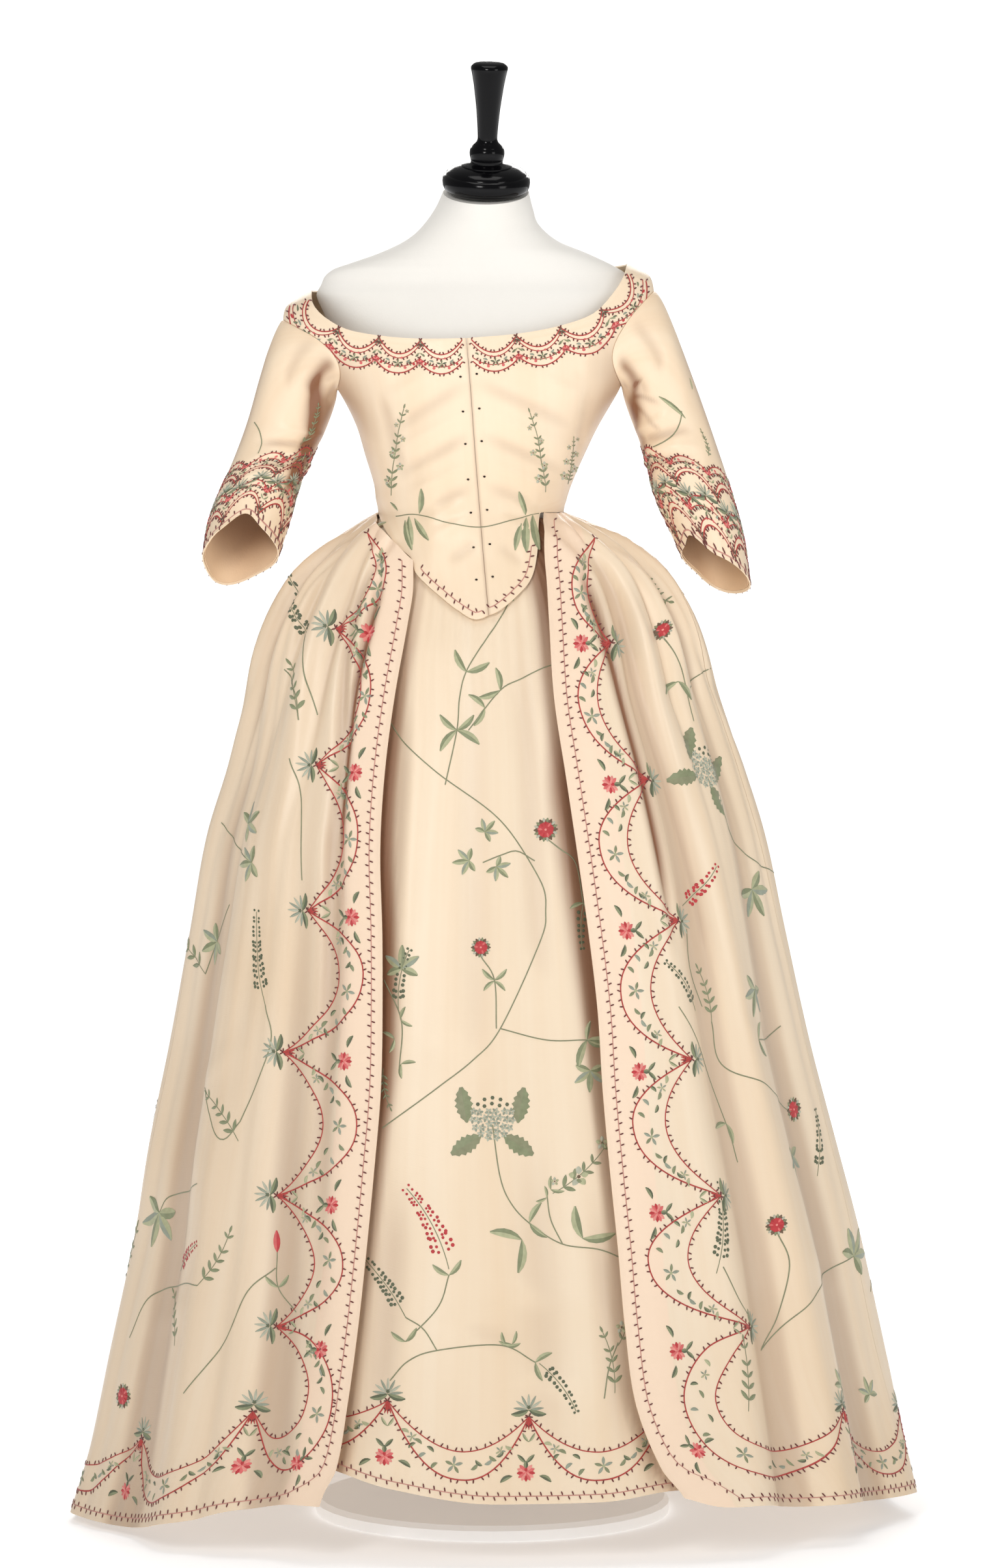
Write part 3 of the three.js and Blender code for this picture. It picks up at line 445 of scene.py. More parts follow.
def halfArea(piece):  # one face of a shell, in square metres
    areas = np.zeros(len(piece.data.polygons))
    piece.data.polygons.foreach_get("area", areas)
    return float(areas.sum()) / 2


def declareCloth(piece, nodes, flat):
    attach(piece, "root")
    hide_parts(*nodes)
    width, length = (size / 1000 for size in flat)
    area = min(max(halfArea(piece), 0.31 * width * length), width * length)


def creaseField(x, z, rows):  # soft lines from (x0, z0) to (x1, z1): negative depths are troughs
    total = np.zeros(np.broadcast(x, z).shape)
    for x0, z0, x1, z1, depth, width in rows:
        dx, dz = x1 - x0, z1 - z0
        t = ((x - x0) * dx + (z - z0) * dz) / (dx * dx + dz * dz)
        away = (x - x0 - t * dx) ** 2 + (z - z0 - t * dz) ** 2
        ends = smoothStep(-0.12, 0.3, t) * (1 - smoothStep(0.7, 1.12, t))
        total = total + depth * ends * np.exp(-away / width ** 2)
    return total


# Folds that run from waist to hem.
waist = 1070
foldNames = ("side", "topAngle", "midAngle", "hemAngle", "topDepth", "midDepth", "hemDepth", "width")


def foldOf(row):
    fold = dict(zip(foldNames, row))
    heights = (0, 620, 1040, waist)
    width = fold["width"]
    return (fold["side"],
            smoothLine(heights, (fold["hemAngle"], fold["midAngle"], fold["topAngle"], fold["topAngle"])),
            smoothLine(heights, (fold["hemDepth"], fold["midDepth"], fold["topDepth"], 0)),
            smoothLine(heights, (width, width * 0.75, width * 0.35, width * 0.25)))


def foldOffset(folds, angle, height, radius):
    total = np.zeros(np.broadcast(angle, height).shape)
    for side, turn, depth, width in folds:
        away = (angle - side * turn(height)) * radian * radius
        total = total + depth(height) * np.exp(-((away / width(height)) ** 2))
    return total


overskirtFolds = [foldOf(row) for row in (
    (1, 36, 38, 39, 3, 8, 12, 42), (1, 42, 45, 46, -7, -14, -20, 34), (1, 54, 55, 56, 3, 9, 17, 36),
    (1, 64, 66, 68, -3, -7, -13, 40), (1, 80, 80, 82, 2, 7, 13, 44), (1, 96, 96, 97, -2, -6, -12, 44),
    (1, 113, 112, 112, 3, 8, 16, 46), (1, 130, 129, 128, -3, -8, -14, 46),
    (1, 147, 146, 145, 3, 8, 16, 46), (1, 163, 162, 161, -3, -7, -13, 46),
    (-1, 38, 31, 26, -9, -9, 0, 16), (-1, 44, 38, 33, 0, -5, -14, 32), (-1, 50, 45, 41, 2, 6, 6, 34),
    (-1, 58, 54, 49, 3, 8, 16, 36), (-1, 68, 66, 62, -3, -7, -13, 40), (-1, 80, 79, 78, 2, 7, 13, 44),
    (-1, 96, 96, 95, -2, -6, -12, 44), (-1, 113, 112, 112, 3, 8, 15, 46),
    (-1, 130, 129, 128, -3, -8, -14, 46), (-1, 147, 146, 145, 3, 8, 16, 46),
    (-1, 163, 162, 161, -3, -7, -13, 46),
)]
petticoatFolds = [foldOf(row) for row in (
    (-1, 20, 19, 17, 1, 3, 4, 40), (-1, 30, 28, 27, -1, -5, -9, 34), (-1, 4, 5, 5, 0, 1, 3, 60),
    (1, 10, 9, 9, 0, -2, -4, 40), (1, 20, 19, 18, 1, 3, 5, 36), (1, 30, 28, 26, -1, -5, -8, 34),
)]

# The overskirt: three widths on each side, pleated to the waist.
overskirtLook = {
    "wall": 1.4, "pleats": 11, "pleatSharpness": 0.55, "pleatSwing": 0.22, "seamGap": 0.36, "widthGap": 0.5,
    "joins": (0, 16 / 44, 30 / 44, 1), "columns": (104, 64, 60), "rows": (150, 96, 90), "seed": 7,
    "flatWidths": (560, 470, 490), "fineFolds": 9,
}
frontEdges = tableLines("height left right", [
    (50, -180, 206), (75, -172, 192), (100, -159, 172), (165, -147.5, 146), (242, -137, 135),
    (321, -128.5, 128), (400, -121, 120), (479, -114.5, 113), (560, -113, 108), (638, -113.5, 99),
    (717, -116, 88), (798, -112, 76), (878, -102, 64), (958, -88, 59), (995, -83, 57), (1028, -84, 54.5),
    (waist, -90, 54),
])
upperEdges = tableLines("share left right", [
    (0, 1020.5, waist), (0.046, 1038, waist), (0.094, 1049, waist), (0.15, 1056.5, waist),
    (0.207, 1062, waist), (0.26, 1067, waist), (0.345, waist, waist), (1, waist, waist),
])
hemHeights = tableLines("share left right", [
    (0, 62, 70), (0.03, 62, 58), (0.08, 52, 54), (0.16, 26, 44), (0.24, 15, 38), (0.34, 7, 26),
    (0.45, 5, 15), (0.6, 5, 8), (0.8, 5, 5), (1, 5, 5),
])
troughLimit = smoothLine((0, 500, 909, 963, 1000, 1027, 1048, 1062, waist),
                         (15, 11.5, 10.5, 9.5, 8, 5.5, 3, 1.6, 0.8))
pleatDepth = smoothLine((620, 760, 840, 909, 963, 1000, 1027, 1048, 1062, waist),
                        (0, 2.4, 4.6, 6.6, 8, 7.4, 5, 3, 1.5, 0.7))
slits = {  # deep folds behind each front strip: distance from the edge, top, foot, depth, width
    "left": ((smoothLine((640, 760, 880, 1000), (50, 47, 47, 38)), 640, 1018, -11, 4.6),
             (smoothLine((400, 660, 1000), (60, 52, 58)), 480, 760, -5, 9)),
    "right": ((smoothLine((560, 700, 800, 900, 1000), (98, 92, 84, 70, 44)), 600, 1030, -9, 6.5),
              (smoothLine((500, 700, 980), (150, 132, 80)), 520, 1010, -4, 9)),
}


def makeFineFolds(look):  # narrow folds of uneven length on each side
    draw = random.Random(look["seed"])
    folds = []
    for side in (-1, 1):
        for i in range(look["fineFolds"] * 2):
            turn = 47 + i * 7.2 + draw.uniform(-2, 2)
            depth = draw.choice((-1, 1)) * draw.uniform(1.2, 3.2)
            drift = draw.uniform(-2.5, 2.5)
            hemDepth = depth * draw.uniform(0.15, 1.0) * 1.6
            folds.append(foldOf((side, turn, turn + drift * 0.5, turn + drift, depth * 0.9, depth, hemDepth,
                                 draw.uniform(11, 20))))
    return folds


fineFolds = makeFineFolds(overskirtLook)
overskirtCreases = [  # signed angle * 4 and height at each end, depth, width
    (-200, 1010, -245, 800, -2.6, 9), (-232, 1015, -300, 760, 2.4, 11), (-265, 1020, -330, 830, -2.6, 10),
    (-190, 700, -215, 380, -2.2, 11), (-240, 640, -228, 300, 2.6, 14), (-290, 600, -300, 250, -2.6, 15),
    (195, 1010, 232, 780, -2.8, 9), (225, 1020, 285, 800, 2.6, 11), (262, 1020, 330, 840, -2.6, 10),
    (200, 720, 215, 420, 2.2, 12), (238, 620, 250, 330, -2.6, 14), (300, 640, 310, 240, 2.8, 16),
    (-190, 520, -250, 470, 1.4, 12), (210, 560, 275, 500, -1.4, 12), (-210, 250, -280, 215, 1.6, 13),
    (225, 300, 290, 250, 1.6, 13),
]


def edgeAngle(name, height):
    away = frontEdges[name](height) - overskirtRings["centre"](height)
    return np.arcsin(np.clip(np.abs(away) / overskirtRings["half"](height), 0, 1)) / radian


def clothReach(first, angle, height):  # how far the cloth runs for each radian between two angles
    middle = (angle + first) / 2 * radian
    return np.sqrt((overskirtRings["half"](height) * np.cos(middle)) ** 2
                   + (overskirtRings["front"](height) * np.sin(middle)) ** 2)


def edgeDistance(name, share, height):  # along the cloth from the front edge, near enough for marks
    first = edgeAngle(name, height)
    angle = mix(first, 180, share)
    return (angle - first) * radian * clothReach(first, angle, height)


def overskirtRelief(name, share, height):  # how far pleats, folds and slits move the cloth in or out
    side, look = -1 if name == "left" else 1, overskirtLook
    turn = side * mix(edgeAngle(name, height), 180, share)
    radius = (overskirtRings["half"](height) + overskirtRings["back"](height)) / 2
    away = smoothStep(0.07, 0.15, share)
    offset = foldOffset(overskirtFolds, turn, height, radius)
    offset = offset + foldOffset(fineFolds, turn, height, radius) * away
    offset = offset + creaseField(turn * 4, height, overskirtCreases) * away
    swing = look["pleatSwing"] * np.sin(share * 23 + side * 2)
    wave = (1 + np.cos(2 * math.pi * look["pleats"] * share + swing)) / 2
    pleat = 2 * wave ** look["pleatSharpness"] - 1
    offset = offset + pleatDepth(height) * pleat * smoothStep(0.08, 0.16, share)
    distance = edgeDistance(name, share, height)
    for centre, foot, top, depth, width in slits[name]:
        length = smoothStep(foot, foot + 90, height) * (1 - smoothStep(top - 35, top, height))
        offset = offset + depth * length * np.exp(-(((distance - centre(height)) / width) ** 2))
    limit = troughLimit(height)
    return np.where(offset < 0, -limit * np.tanh(-offset / limit), offset)


def overskirtPoints(name, share, height):
    share, height = np.broadcast_arrays(np.asarray(share, float), np.asarray(height, float))
    angle = mix(edgeAngle(name, height), 180, share) * (-1 if name == "left" else 1)
    roll = 0.8 * np.exp(-((edgeDistance(name, share, height) / 3.0) ** 2))
    return movedOut(overskirtRings, angle, height, overskirtRelief(name, share, height) + roll)


def foldShade(name, share, height):  # painted shade: darker in the troughs and over the left side, deep brown in the folds behind a front strip
    distance = edgeDistance(name, share, height)
    trough = smoothStep(1.0, 8, -overskirtRelief(name, share, height))
    # Painted shade in the troughs, plus a little over all of the left side, where less light falls.
    shade = (0.3 * trough + (0.09 if name == "left" else 0.03)) * smoothStep(30, 60, distance)
    for (centre, foot, top, _, width), strength in zip(slits[name], (0.95, 0.4)):
        length = smoothStep(foot + 20, foot + 130, height) * (1 - smoothStep(top - 60, top - 5, height))
        away = (distance - centre(height)) / width
        # Painted shadow in the deep slit behind the strip.
        dusk = np.maximum(np.exp(-(away * 1.5) ** 2), 0.55 * np.exp(-(away * 0.75) ** 2))
        shade = np.maximum(shade, strength * 1.1 * length * dusk)
    return shade


def overskirtNet(name, start, stop, u, v):
    share = mix(start, stop, u)
    height = mix(hemHeights[name](share), upperEdges[name](share) - overskirtLook["seamGap"], v)
    gap = overskirtLook["widthGap"] / 2 / (overskirtRings["half"](height) * math.pi * 0.9)
    return mix(start + (gap if start > 0 else 0), stop - gap, u), height


def makeOverskirt():
    look = overskirtLook
    for name, side in (("left", -1), ("right", 1)):
        for k, width in enumerate(("front", "side", "back")):
            flatWidth = look["flatWidths"][k]
            cloth = {"wall": look["wall"], "side": side, "steps": (0.002, 1.2), "flatWidth": flatWidth,
                     "shade": partial(foldShade, name)}
            columns, rows = np.linspace(0, 1, look["columns"][k]), np.linspace(0, 1, look["rows"][k])
            if width == "front":
                cloth["fromEdge"] = lambda p, q, name=name: edgeDistance(name, p, q) / 1000
                columns = columns ** 1.15
            piece = clothShell(f"overskirt_{width}_{name}_silk", partial(overskirtPoints, name),
                               partial(overskirtNet, name, look["joins"][k], look["joins"][k + 1]), columns,
                               rows, cloth, borderSilk if width == "front" else silk)
            declareCloth(piece, [f"overskirt_{width}_{name}"], (flatWidth, 1120))


# The petticoat: four widths.
petticoatLook = {
    "wall": 1.4, "top": 1064, "gap": 0.5, "gatherDepth": 0.55, "gathers": 54,
    "grids": {"front": (112, 150), "side": (44, 64)}, "flat": {"front": (640, 1080), "side": (690, 1090)},
}
petticoatHem = smoothLine((-180, -90, -60, -42, -28, -15, 0, 15, 28, 60, 90, 180),
                          (32, 38, 60, 88, 98, 80, 67, 67, 74, 56, 38, 32))
petticoatCreases = [  # across and height at each end, depth, width
    (-62, 960, -88, 560, 2.2, 13), (-88, 900, -112, 480, -3.2, 14), (-20, 930, -14, 470, -1.2, 16),
    (30, 960, 52, 560, -1.8, 13), (62, 940, 92, 640, 2.2, 12), (84, 900, 118, 420, -3.0, 13),
    (40, 420, 60, 120, -1.5, 22), (-40, 440, -52, 130, 1.8, 24), (-96, 380, -118, 130, -2.6, 15),
    (108, 360, 138, 120, -2.6, 15), (-20, 300, 60, 262, 1.0, 12), (-60, 250, 30, 228, -1.0, 10),
    (20, 196, 100, 172, 0.9, 10), (10, 620, 70, 560, 0.9, 16), (-70, 520, 0, 500, 0.8, 18),
]


def petticoatPoints(angle, height):
    angle, height = np.broadcast_arrays(np.asarray(angle, float), np.asarray(height, float))
    angle = (angle + 180) % 360 - 180
    offset = foldOffset(petticoatFolds, angle, height, petticoatRings["half"](height))
    across = petticoatRings["half"](height) * np.sin(angle * radian)
    shown = 1 - smoothStep(20, 30, np.abs(angle))
    offset = offset + creaseField(across, height, petticoatCreases) * shown
    gathers = np.cos(angle * petticoatLook["gathers"] * radian * 2 + 1.2 * np.sin(angle * 0.31))
    gathered = smoothStep(820, 1000, height) * (1 - smoothStep(1035, 1060, height))
    offset = offset + gathers * petticoatLook["gatherDepth"] * gathered
    return movedOut(petticoatRings, angle, height, offset)


stripShades = {  # how deep the painted shadow is, how wide, and how far it is moved, along each overskirt edge
    "left": (smoothLine((80, 200, 420, 480, 800, 920, 960, 1040),
                        (0.5, 0.3, 0.7, 0.9, 0.85, 0.55, 0.35, 0.2)),
             smoothLine((80, 420, 520, 800, 960), (9, 9, 13, 12, 9)), 3),
    "right": (smoothLine((60, 220, 480, 560, 780, 880, 980, 1040),
                         (0.5, 0.35, 0.6, 0.85, 0.85, 0.55, 0.8, 0.9)),
              smoothLine((80, 420, 620, 760, 860, 960, 1010), (7, 9, 17, 19, 11, 12, 20)), -3),
}


# Painted shade on the petticoat: in its crease troughs, and as the shadow that each overskirt edge casts.
def stripShade(angle, height):
    x = ringPoints(petticoatRings, angle, height)[..., 0]
    creases = creaseField(x, height, petticoatCreases) * (np.abs((angle + 180) % 360 - 180) < 30)
    shade = np.clip(-creases * 0.09, 0, 0.25)
    for name, (depth, width, shift) in stripShades.items():
        away = (x - frontEdges[name](height) - shift) / width(height)
        shade = np.maximum(shade, depth(height) * np.exp(-np.abs(np.clip(away, -9, 9)) ** 3))
    return shade


def petticoatNet(start, stop, u, v):
    turn = mix(start, stop, u)
    height = mix(petticoatHem((turn + 180) % 360 - 180), petticoatLook["top"], v)
    gap = petticoatLook["gap"] / 2 / (petticoatRings["half"](height) * radian)
    return mix(start + gap, stop - gap, u), height


def makePetticoat():
    look = petticoatLook
    for name, start in (("front", -45), ("right", 45), ("back", 135), ("left", 225)):
        kind = "front" if name == "front" else "side"
        cloth = {"wall": look["wall"], "side": 1, "steps": (0.25, 1.2), "flatWidth": look["flat"][kind][0],
                 "shade": stripShade}
        columns, rows = (np.linspace(0, 1, count) for count in look["grids"][kind])
        piece = clothShell(f"petticoat_{name}_silk", petticoatPoints,
                           partial(petticoatNet, start, start + 90), columns, rows, cloth, silk)
        declareCloth(piece, [f"petticoat_{name}"], look["flat"][kind])


makeOverskirt()
makePetticoat()
print("overskirt and petticoat made")

# The bodice: two fronts that meet at the centre, two backs.
bodiceLook = {"wall": 1.8, "seamGap": 0.36, "rows": 110, "chest": 1196, "highWaist": 1086, "neckCentre": 1253,
              "backNeck": 1317, "columns": {"front": 84, "back": 56},
              "flat": {"front": (190, 370), "back": (200, 300)}}
armhole = {"height": 1246, "halfHeight": 43, "middle": 90, "halfWidth": 32}
frontStages = {"highWaist": 0.3, "chest": 0.62, "neck": 0.8}
lowerEdges = {
    "left": tableLines("share x height turn", [
        (0, -4, 963.5, 0), (0.1, -17, 959, 0.1), (0.22, -38, 970, 0.24), (0.34, -56, 984, 0.38),
        (0.45, -70, 996, 0.5), (0.54, -81, 1008, 0.6), (0.63, -85, 1022, 0.68), (0.76, -101, 1036, 0.78),
        (0.88, -114, 1053, 0.88), (1, -122, waist, 1)]),
    "right": tableLines("share x height turn", [
        (0, -4, 963.5, 0), (0.09, 5, 967, 0.07), (0.18, 16, 975, 0.15), (0.28, 28, 986, 0.24),
        (0.37, 38, 997, 0.31), (0.45, 44, 1011, 0.37), (0.53, 47.5, 1034, 0.43), (0.61, 48.5, 1063, 0.49),
        (0.65, 51, waist, 0.53), (0.76, 62, waist, 0.67), (0.88, 71, waist, 0.84), (1, 76, waist, 1)]),
}
centreFront = smoothLine((963, 1030, 1086, 1130, 1196, 1253), (-4, -10, -14.5, -18, -22.7, -27.3))
neckline = tableLines("share across height", [
    (0, 0, 1253), (0.2, 46, 1254.5), (0.42, 90, 1260), (0.62, 130, 1271), (0.76, 152, 1288),
    (0.88, 164, 1304), (1, 168, 1320)])
bodiceCreases = [  # across and height at each end, depth, width: the cloth drags towards the centre front
    (-96, 1112, -26, 1150, -1.5, 6), (-100, 1136, -28, 1176, 1.4, 7), (-104, 1158, -30, 1204, -1.3, 7),
    (-88, 1090, -24, 1122, 1.5, 6), (-80, 1072, -22, 1096, -1.4, 6), (-60, 1046, -18, 1068, 1.1, 6),
    (-112, 1190, -40, 1232, 1.0, 8), (-46, 1020, -14, 1040, -1.0, 6), (-70, 1060, -30, 1080, 0.9, 5),
    (78, 1112, -8, 1150, -1.5, 6), (84, 1136, -10, 1176, 1.5, 7), (90, 1158, -14, 1206, -1.4, 7),
    (68, 1092, -6, 1124, 1.4, 6), (58, 1074, -6, 1098, -1.3, 6), (42, 1048, 2, 1070, 1.1, 6),
    (100, 1188, 10, 1230, 1.1, 8), (34, 1016, 6, 1036, -1.0, 6), (50, 1062, 14, 1082, 0.9, 5),
    (-120, 1200, -96, 1110, -1.6, 7), (104, 1200, 86, 1106, -1.6, 7), (-132, 1236, -104, 1212, 1.6, 8),
    (112, 1244, 92, 1216, 1.6, 8), (-70, 1130, -60, 1000, 1.3, 10), (52, 1130, 34, 1010, 1.2, 10),
]


def armholeEdge(turn, shrink=0):
    width = armhole["halfWidth"] - shrink / 3
    height = armhole["halfHeight"] - shrink
    return (armhole["middle"] + width * np.sin(turn * radian),
            armhole["height"] + height * np.cos(turn * radian))


def bodicePoints(angle, height):
    x = ringPoints(bodiceRings, angle, height)[..., 0]
    wrapped = (np.asarray(angle) + 180) % 360 - 180
    shown = 1 - smoothStep(62, 80, np.abs(wrapped))
    edge = smoothStep(0, 10, np.abs(x - centreFront(height)))
    offset = creaseField(x, height, bodiceCreases) * 1.3 * shown * edge
    puffs = 0.35 * np.sin((height - 963) / 33.0 * 2 * math.pi)  # between the hooks
    puffs = puffs * np.exp(-((x - centreFront(height)) / 16) ** 2)
    return movedOut(bodiceRings, angle, height, offset + puffs * shown)


def frontNet(name, side, u, v):
    look, edge = bodiceLook, lowerEdges[name]
    highWaist, chest, neck = (frontStages[key] for key in ("highWaist", "chest", "neck"))

    def seamTurn(height):
        return turnAcross(bodiceRings, centreFront(height), height)

    # from the pointed lower edge to the high waist
    t = v / highWaist
    height = mix(edge["height"](u), look["highWaist"], t)
    turn = mix(seamTurn(look["highWaist"]), 90 * side, edge["turn"](u)) * radian
    upper = bodiceRings["centre"](look["highWaist"]) + bodiceRings["half"](look["highWaist"]) * np.sin(turn)
    x = np.where(u == 0, centreFront(height), mix(edge["x"](u), upper, t))
    low = np.where(u > 0.995, 90.0 * side, turnAcross(bodiceRings, x, height)), height

    # up to the chest
    t = (v - highWaist) / (chest - highWaist)
    height = mix(look["highWaist"], look["chest"], t)
    middle = mix(seamTurn(height), 90 * side, mix(edge["turn"](u), u, t)), height

    # beside the front of the armhole
    toShoulder = (v - chest) / (1 - chest)
    holeAngle, holeHeight = armholeEdge(mix(180, 360, toShoulder))
    dip = (1 - smoothStep(0, 0.2, toShoulder)) * (holeHeight - look["chest"])
    holeHeight = holeHeight - dip * (1 - u)
    t = (v - chest) / (neck - chest)
    height = mix(mix(look["chest"], look["neckCentre"], t), holeHeight, u)
    upperChest = mix(seamTurn(height), holeAngle * side, u), height

    # along the neckline to the shoulder
    share = np.clip((v - neck) / (1 - neck), 0, 1)
    height = neckline["height"](share)
    start = seamTurn(look["neckCentre"]) * (1 - share) ** 2
    reach = np.clip(neckline["across"](share) / bodiceRings["half"](height), 0, 1)
    neckTurn = np.where(share > 0.995, 90.0, np.arcsin(reach) / radian)
    top = mix(start + neckTurn * side, holeAngle * side, u), mix(height, holeHeight, u)

    stages = [v <= highWaist, v <= chest, v <= neck]
    return tuple(np.select(stages, found[:-1], found[-1]) for found in zip(low, middle, upperChest, top))


def backNet(side, u, v):
    look, chest = bodiceLook, frontStages["chest"]
    toShoulder = (v - chest) / (1 - chest)
    holeAngle, holeHeight = armholeEdge(mix(180, 0, toShoulder))
    corner = smoothStep(0.55, 1, toShoulder)
    backHeight = mix(look["chest"], look["backNeck"], np.clip(toShoulder / 0.55, 0, 1))
    backHeight = mix(backHeight, neckline["height"](1), corner)
    angle = np.where(v <= chest, side * (180 - 90 * u), side * mix(mix(180, 90, corner), holeAngle, u))
    return angle, np.where(v <= chest, mix(waist, look["chest"], v / chest), mix(backHeight, holeHeight, u))


def trimmed(net, side, fromTurn, toTurn):  # stops half a seam's gap short of both seams
    def cut(u, v):
        angle, height = net(u, v)
        short = bodiceLook["seamGap"] / 2 / (bodiceRings["half"](height) * radian)
        turn = side * angle
        lift = np.where((v == 0) & (turn > 40), bodiceLook["seamGap"] / 2, 0)
        return side * np.clip(turn, fromTurn(height) + short, toTurn - short), height + lift
    return cut


def stagedRows(count, stages):
    marks = (0, *stages, 1)
    rows = [np.linspace(a, b, max(3, round(count * (b - a))))[:-1] for a, b in zip(marks, marks[1:])]
    return np.concatenate([*rows, [1.0]])


def bodiceShade(angle, height):  # painted shade: at the centre seam, in the drags and under the arms
    x = ringPoints(bodiceRings, angle, height)[..., 0]
    wrapped = np.abs((angle + 180) % 360 - 180)
    seam = 0.36 * np.exp(-((x - centreFront(height)) / 1.8) ** 2) * (wrapped < 40)
    folds = np.clip(-creaseField(x, height, bodiceCreases) * 0.13, 0, 0.22) * (wrapped < 80)
    arm = 0.5 * np.exp(-((wrapped - 76) / 20) ** 2) * smoothStep(1120, 1190, height)
    flank = 0.22 * np.exp(-((wrapped - 84) / 20) ** 2) * smoothStep(1060, 1140, height)
    under = np.maximum(arm, flank) * (1 - smoothStep(1225, 1262, height))
    return np.maximum(seam, np.maximum(folds, under))


def makeBodice():
    look = bodiceLook
    rows = stagedRows(look["rows"], frontStages.values())
    cloth = {"wall": look["wall"], "side": 1, "steps": (0.6, 1.0), "shade": bodiceShade}
    for name, side in (("left", -1), ("right", 1)):
        def seam(height, side=side):
            turn = side * turnAcross(bodiceRings, centreFront(height), height)
            return np.where(height > look["neckCentre"], -45, turn)

        nets = {"front": trimmed(partial(frontNet, name, side), side, seam, 90),
                "back": trimmed(partial(backNet, side), side, lambda height: 90, 180)}
        for width, net in nets.items():
            piece = clothShell(f"bodice_{width}_{name}_silk", bodicePoints, net,
                               np.linspace(0, 1, look["columns"][width]), rows, cloth, bodiceSilk)
            declareCloth(piece, [f"bodice_{width}_{name}"], look["flat"][width])


# The sleeves, with the lining that shows in their cuffs.
sleeveLook = {"wall": 1.3, "liningWall": 0.8, "liningGap": 0.4, "liningFrom": 0.5, "liningTo": 0.994,
              "liningRows": 44, "lift": 0.7, "headReach": 0.26, "columns": 96, "rows": 90, "flat": (300, 330),
              "flatLining": (290, 170)}
sleeveNames = "along outerX outerZ innerX innerZ depth middle lean"
# shades: painted shade next to the body and in the folds, as turn and along * 400 at each end, strength,
# width.
sleeves = {  # peak: turn, share and width of the cuff's rise; mouth: turn, depth and width of its waves
    "left": {
        "side": -1, "peak": (262, 0.045, 22), "lengths": (268, 172),
        "mouth": ((58, 9, 26), (118, -5, 30), (200, -3, 26), (330, -3, 26)),
        "shades": ((256, 24, 246, 110, 0.7, 11), (242, 76, 226, 196, 0.9, 15), (224, 180, 208, 340, 0.75, 14),
                   (210, 60, 196, 340, 0.7, 20), (238, 110, 226, 230, 0.45, 4), (252, 60, 236, 160, 0.35, 5),
                   (226, 230, 214, 330, 0.4, 5), (352, 60, 350, 330, 0.35, 16)),
        "rings": tableLines(sleeveNames, [
            (0, -222, 1280, -163, 1203, 48, 0, 0), (0.1, -231, 1266, -165, 1198, 46, 1, 0),
            (0.22, -239, 1242, -167, 1188, 44, 3, 0), (0.36, -249, 1209, -173, 1170, 42, 5, 0),
            (0.5, -261, 1167, -183, 1146, 41, 6, 4), (0.64, -275, 1128, -197, 1118, 41, 3, 12),
            (0.78, -291, 1088, -208, 1090, 42, -8, 28), (0.9, -303, 1053, -216, 1060, 43, -26, 40),
            (1, -308, 1023, -225, 1031, 44, -41, 43)])},
    "right": {
        "side": 1, "peak": (222, 0.04, 20), "lengths": (326, 178),
        "mouth": ((70, 5, 30), (120, -7, 34), (250, -5, 34)),
        "shades": ((244, 34, 230, 110, 0.7, 11), (228, 90, 212, 186, 0.75, 14), (206, 60, 194, 330, 0.6, 14),
                   (224, 116, 262, 176, 0.35, 4), (220, 140, 250, 226, 0.3, 4), (228, 90, 250, 100, 0.35, 4),
                   (352, 100, 350, 340, 0.3, 16)),
        "rings": tableLines(sleeveNames, [
            (0, 178, 1304, 135, 1203, 48, 0, 0), (0.1, 187, 1289, 138, 1199, 46, 1, 0),
            (0.22, 195, 1262, 140, 1191, 44, 3, 0), (0.36, 205, 1235, 145, 1176, 42, 5, 0),
            (0.5, 221, 1192, 154, 1152, 41, 6, 3), (0.64, 237, 1146, 164, 1122, 41, 4, 8),
            (0.78, 253, 1096, 171, 1092, 42, -3, 18), (0.9, 267, 1041, 185, 1060, 43, -12, 20),
            (1, 273, 989, 200, 1029, 43, -22, 22)])},
}
# Turn and along * 400 at each end, depth, width. Turn 0 is outside, 180 inside and 270 in front.
sleeveCreases = [
    (196, 215, 300, 236, -2.2, 8), (188, 236, 296, 262, 1.9, 9), (200, 262, 290, 284, -1.8, 8),
    (190, 190, 280, 204, 1.5, 9), (205, 290, 300, 318, 1.3, 9), (232, 30, 246, 150, -1.6, 9),
    (262, 22, 270, 120, 1.4, 10), (292, 26, 286, 130, -1.3, 9), (206, 40, 214, 120, -1.5, 8),
    (180, 205, 110, 232, -2.0, 9), (184, 250, 100, 272, 1.8, 10), (320, 60, 312, 200, 1.1, 14),
    (340, 240, 250, 330, 0.9, 12), (60, 60, 70, 220, -1.2, 14), (150, 30, 140, 130, 1.3, 10),
]


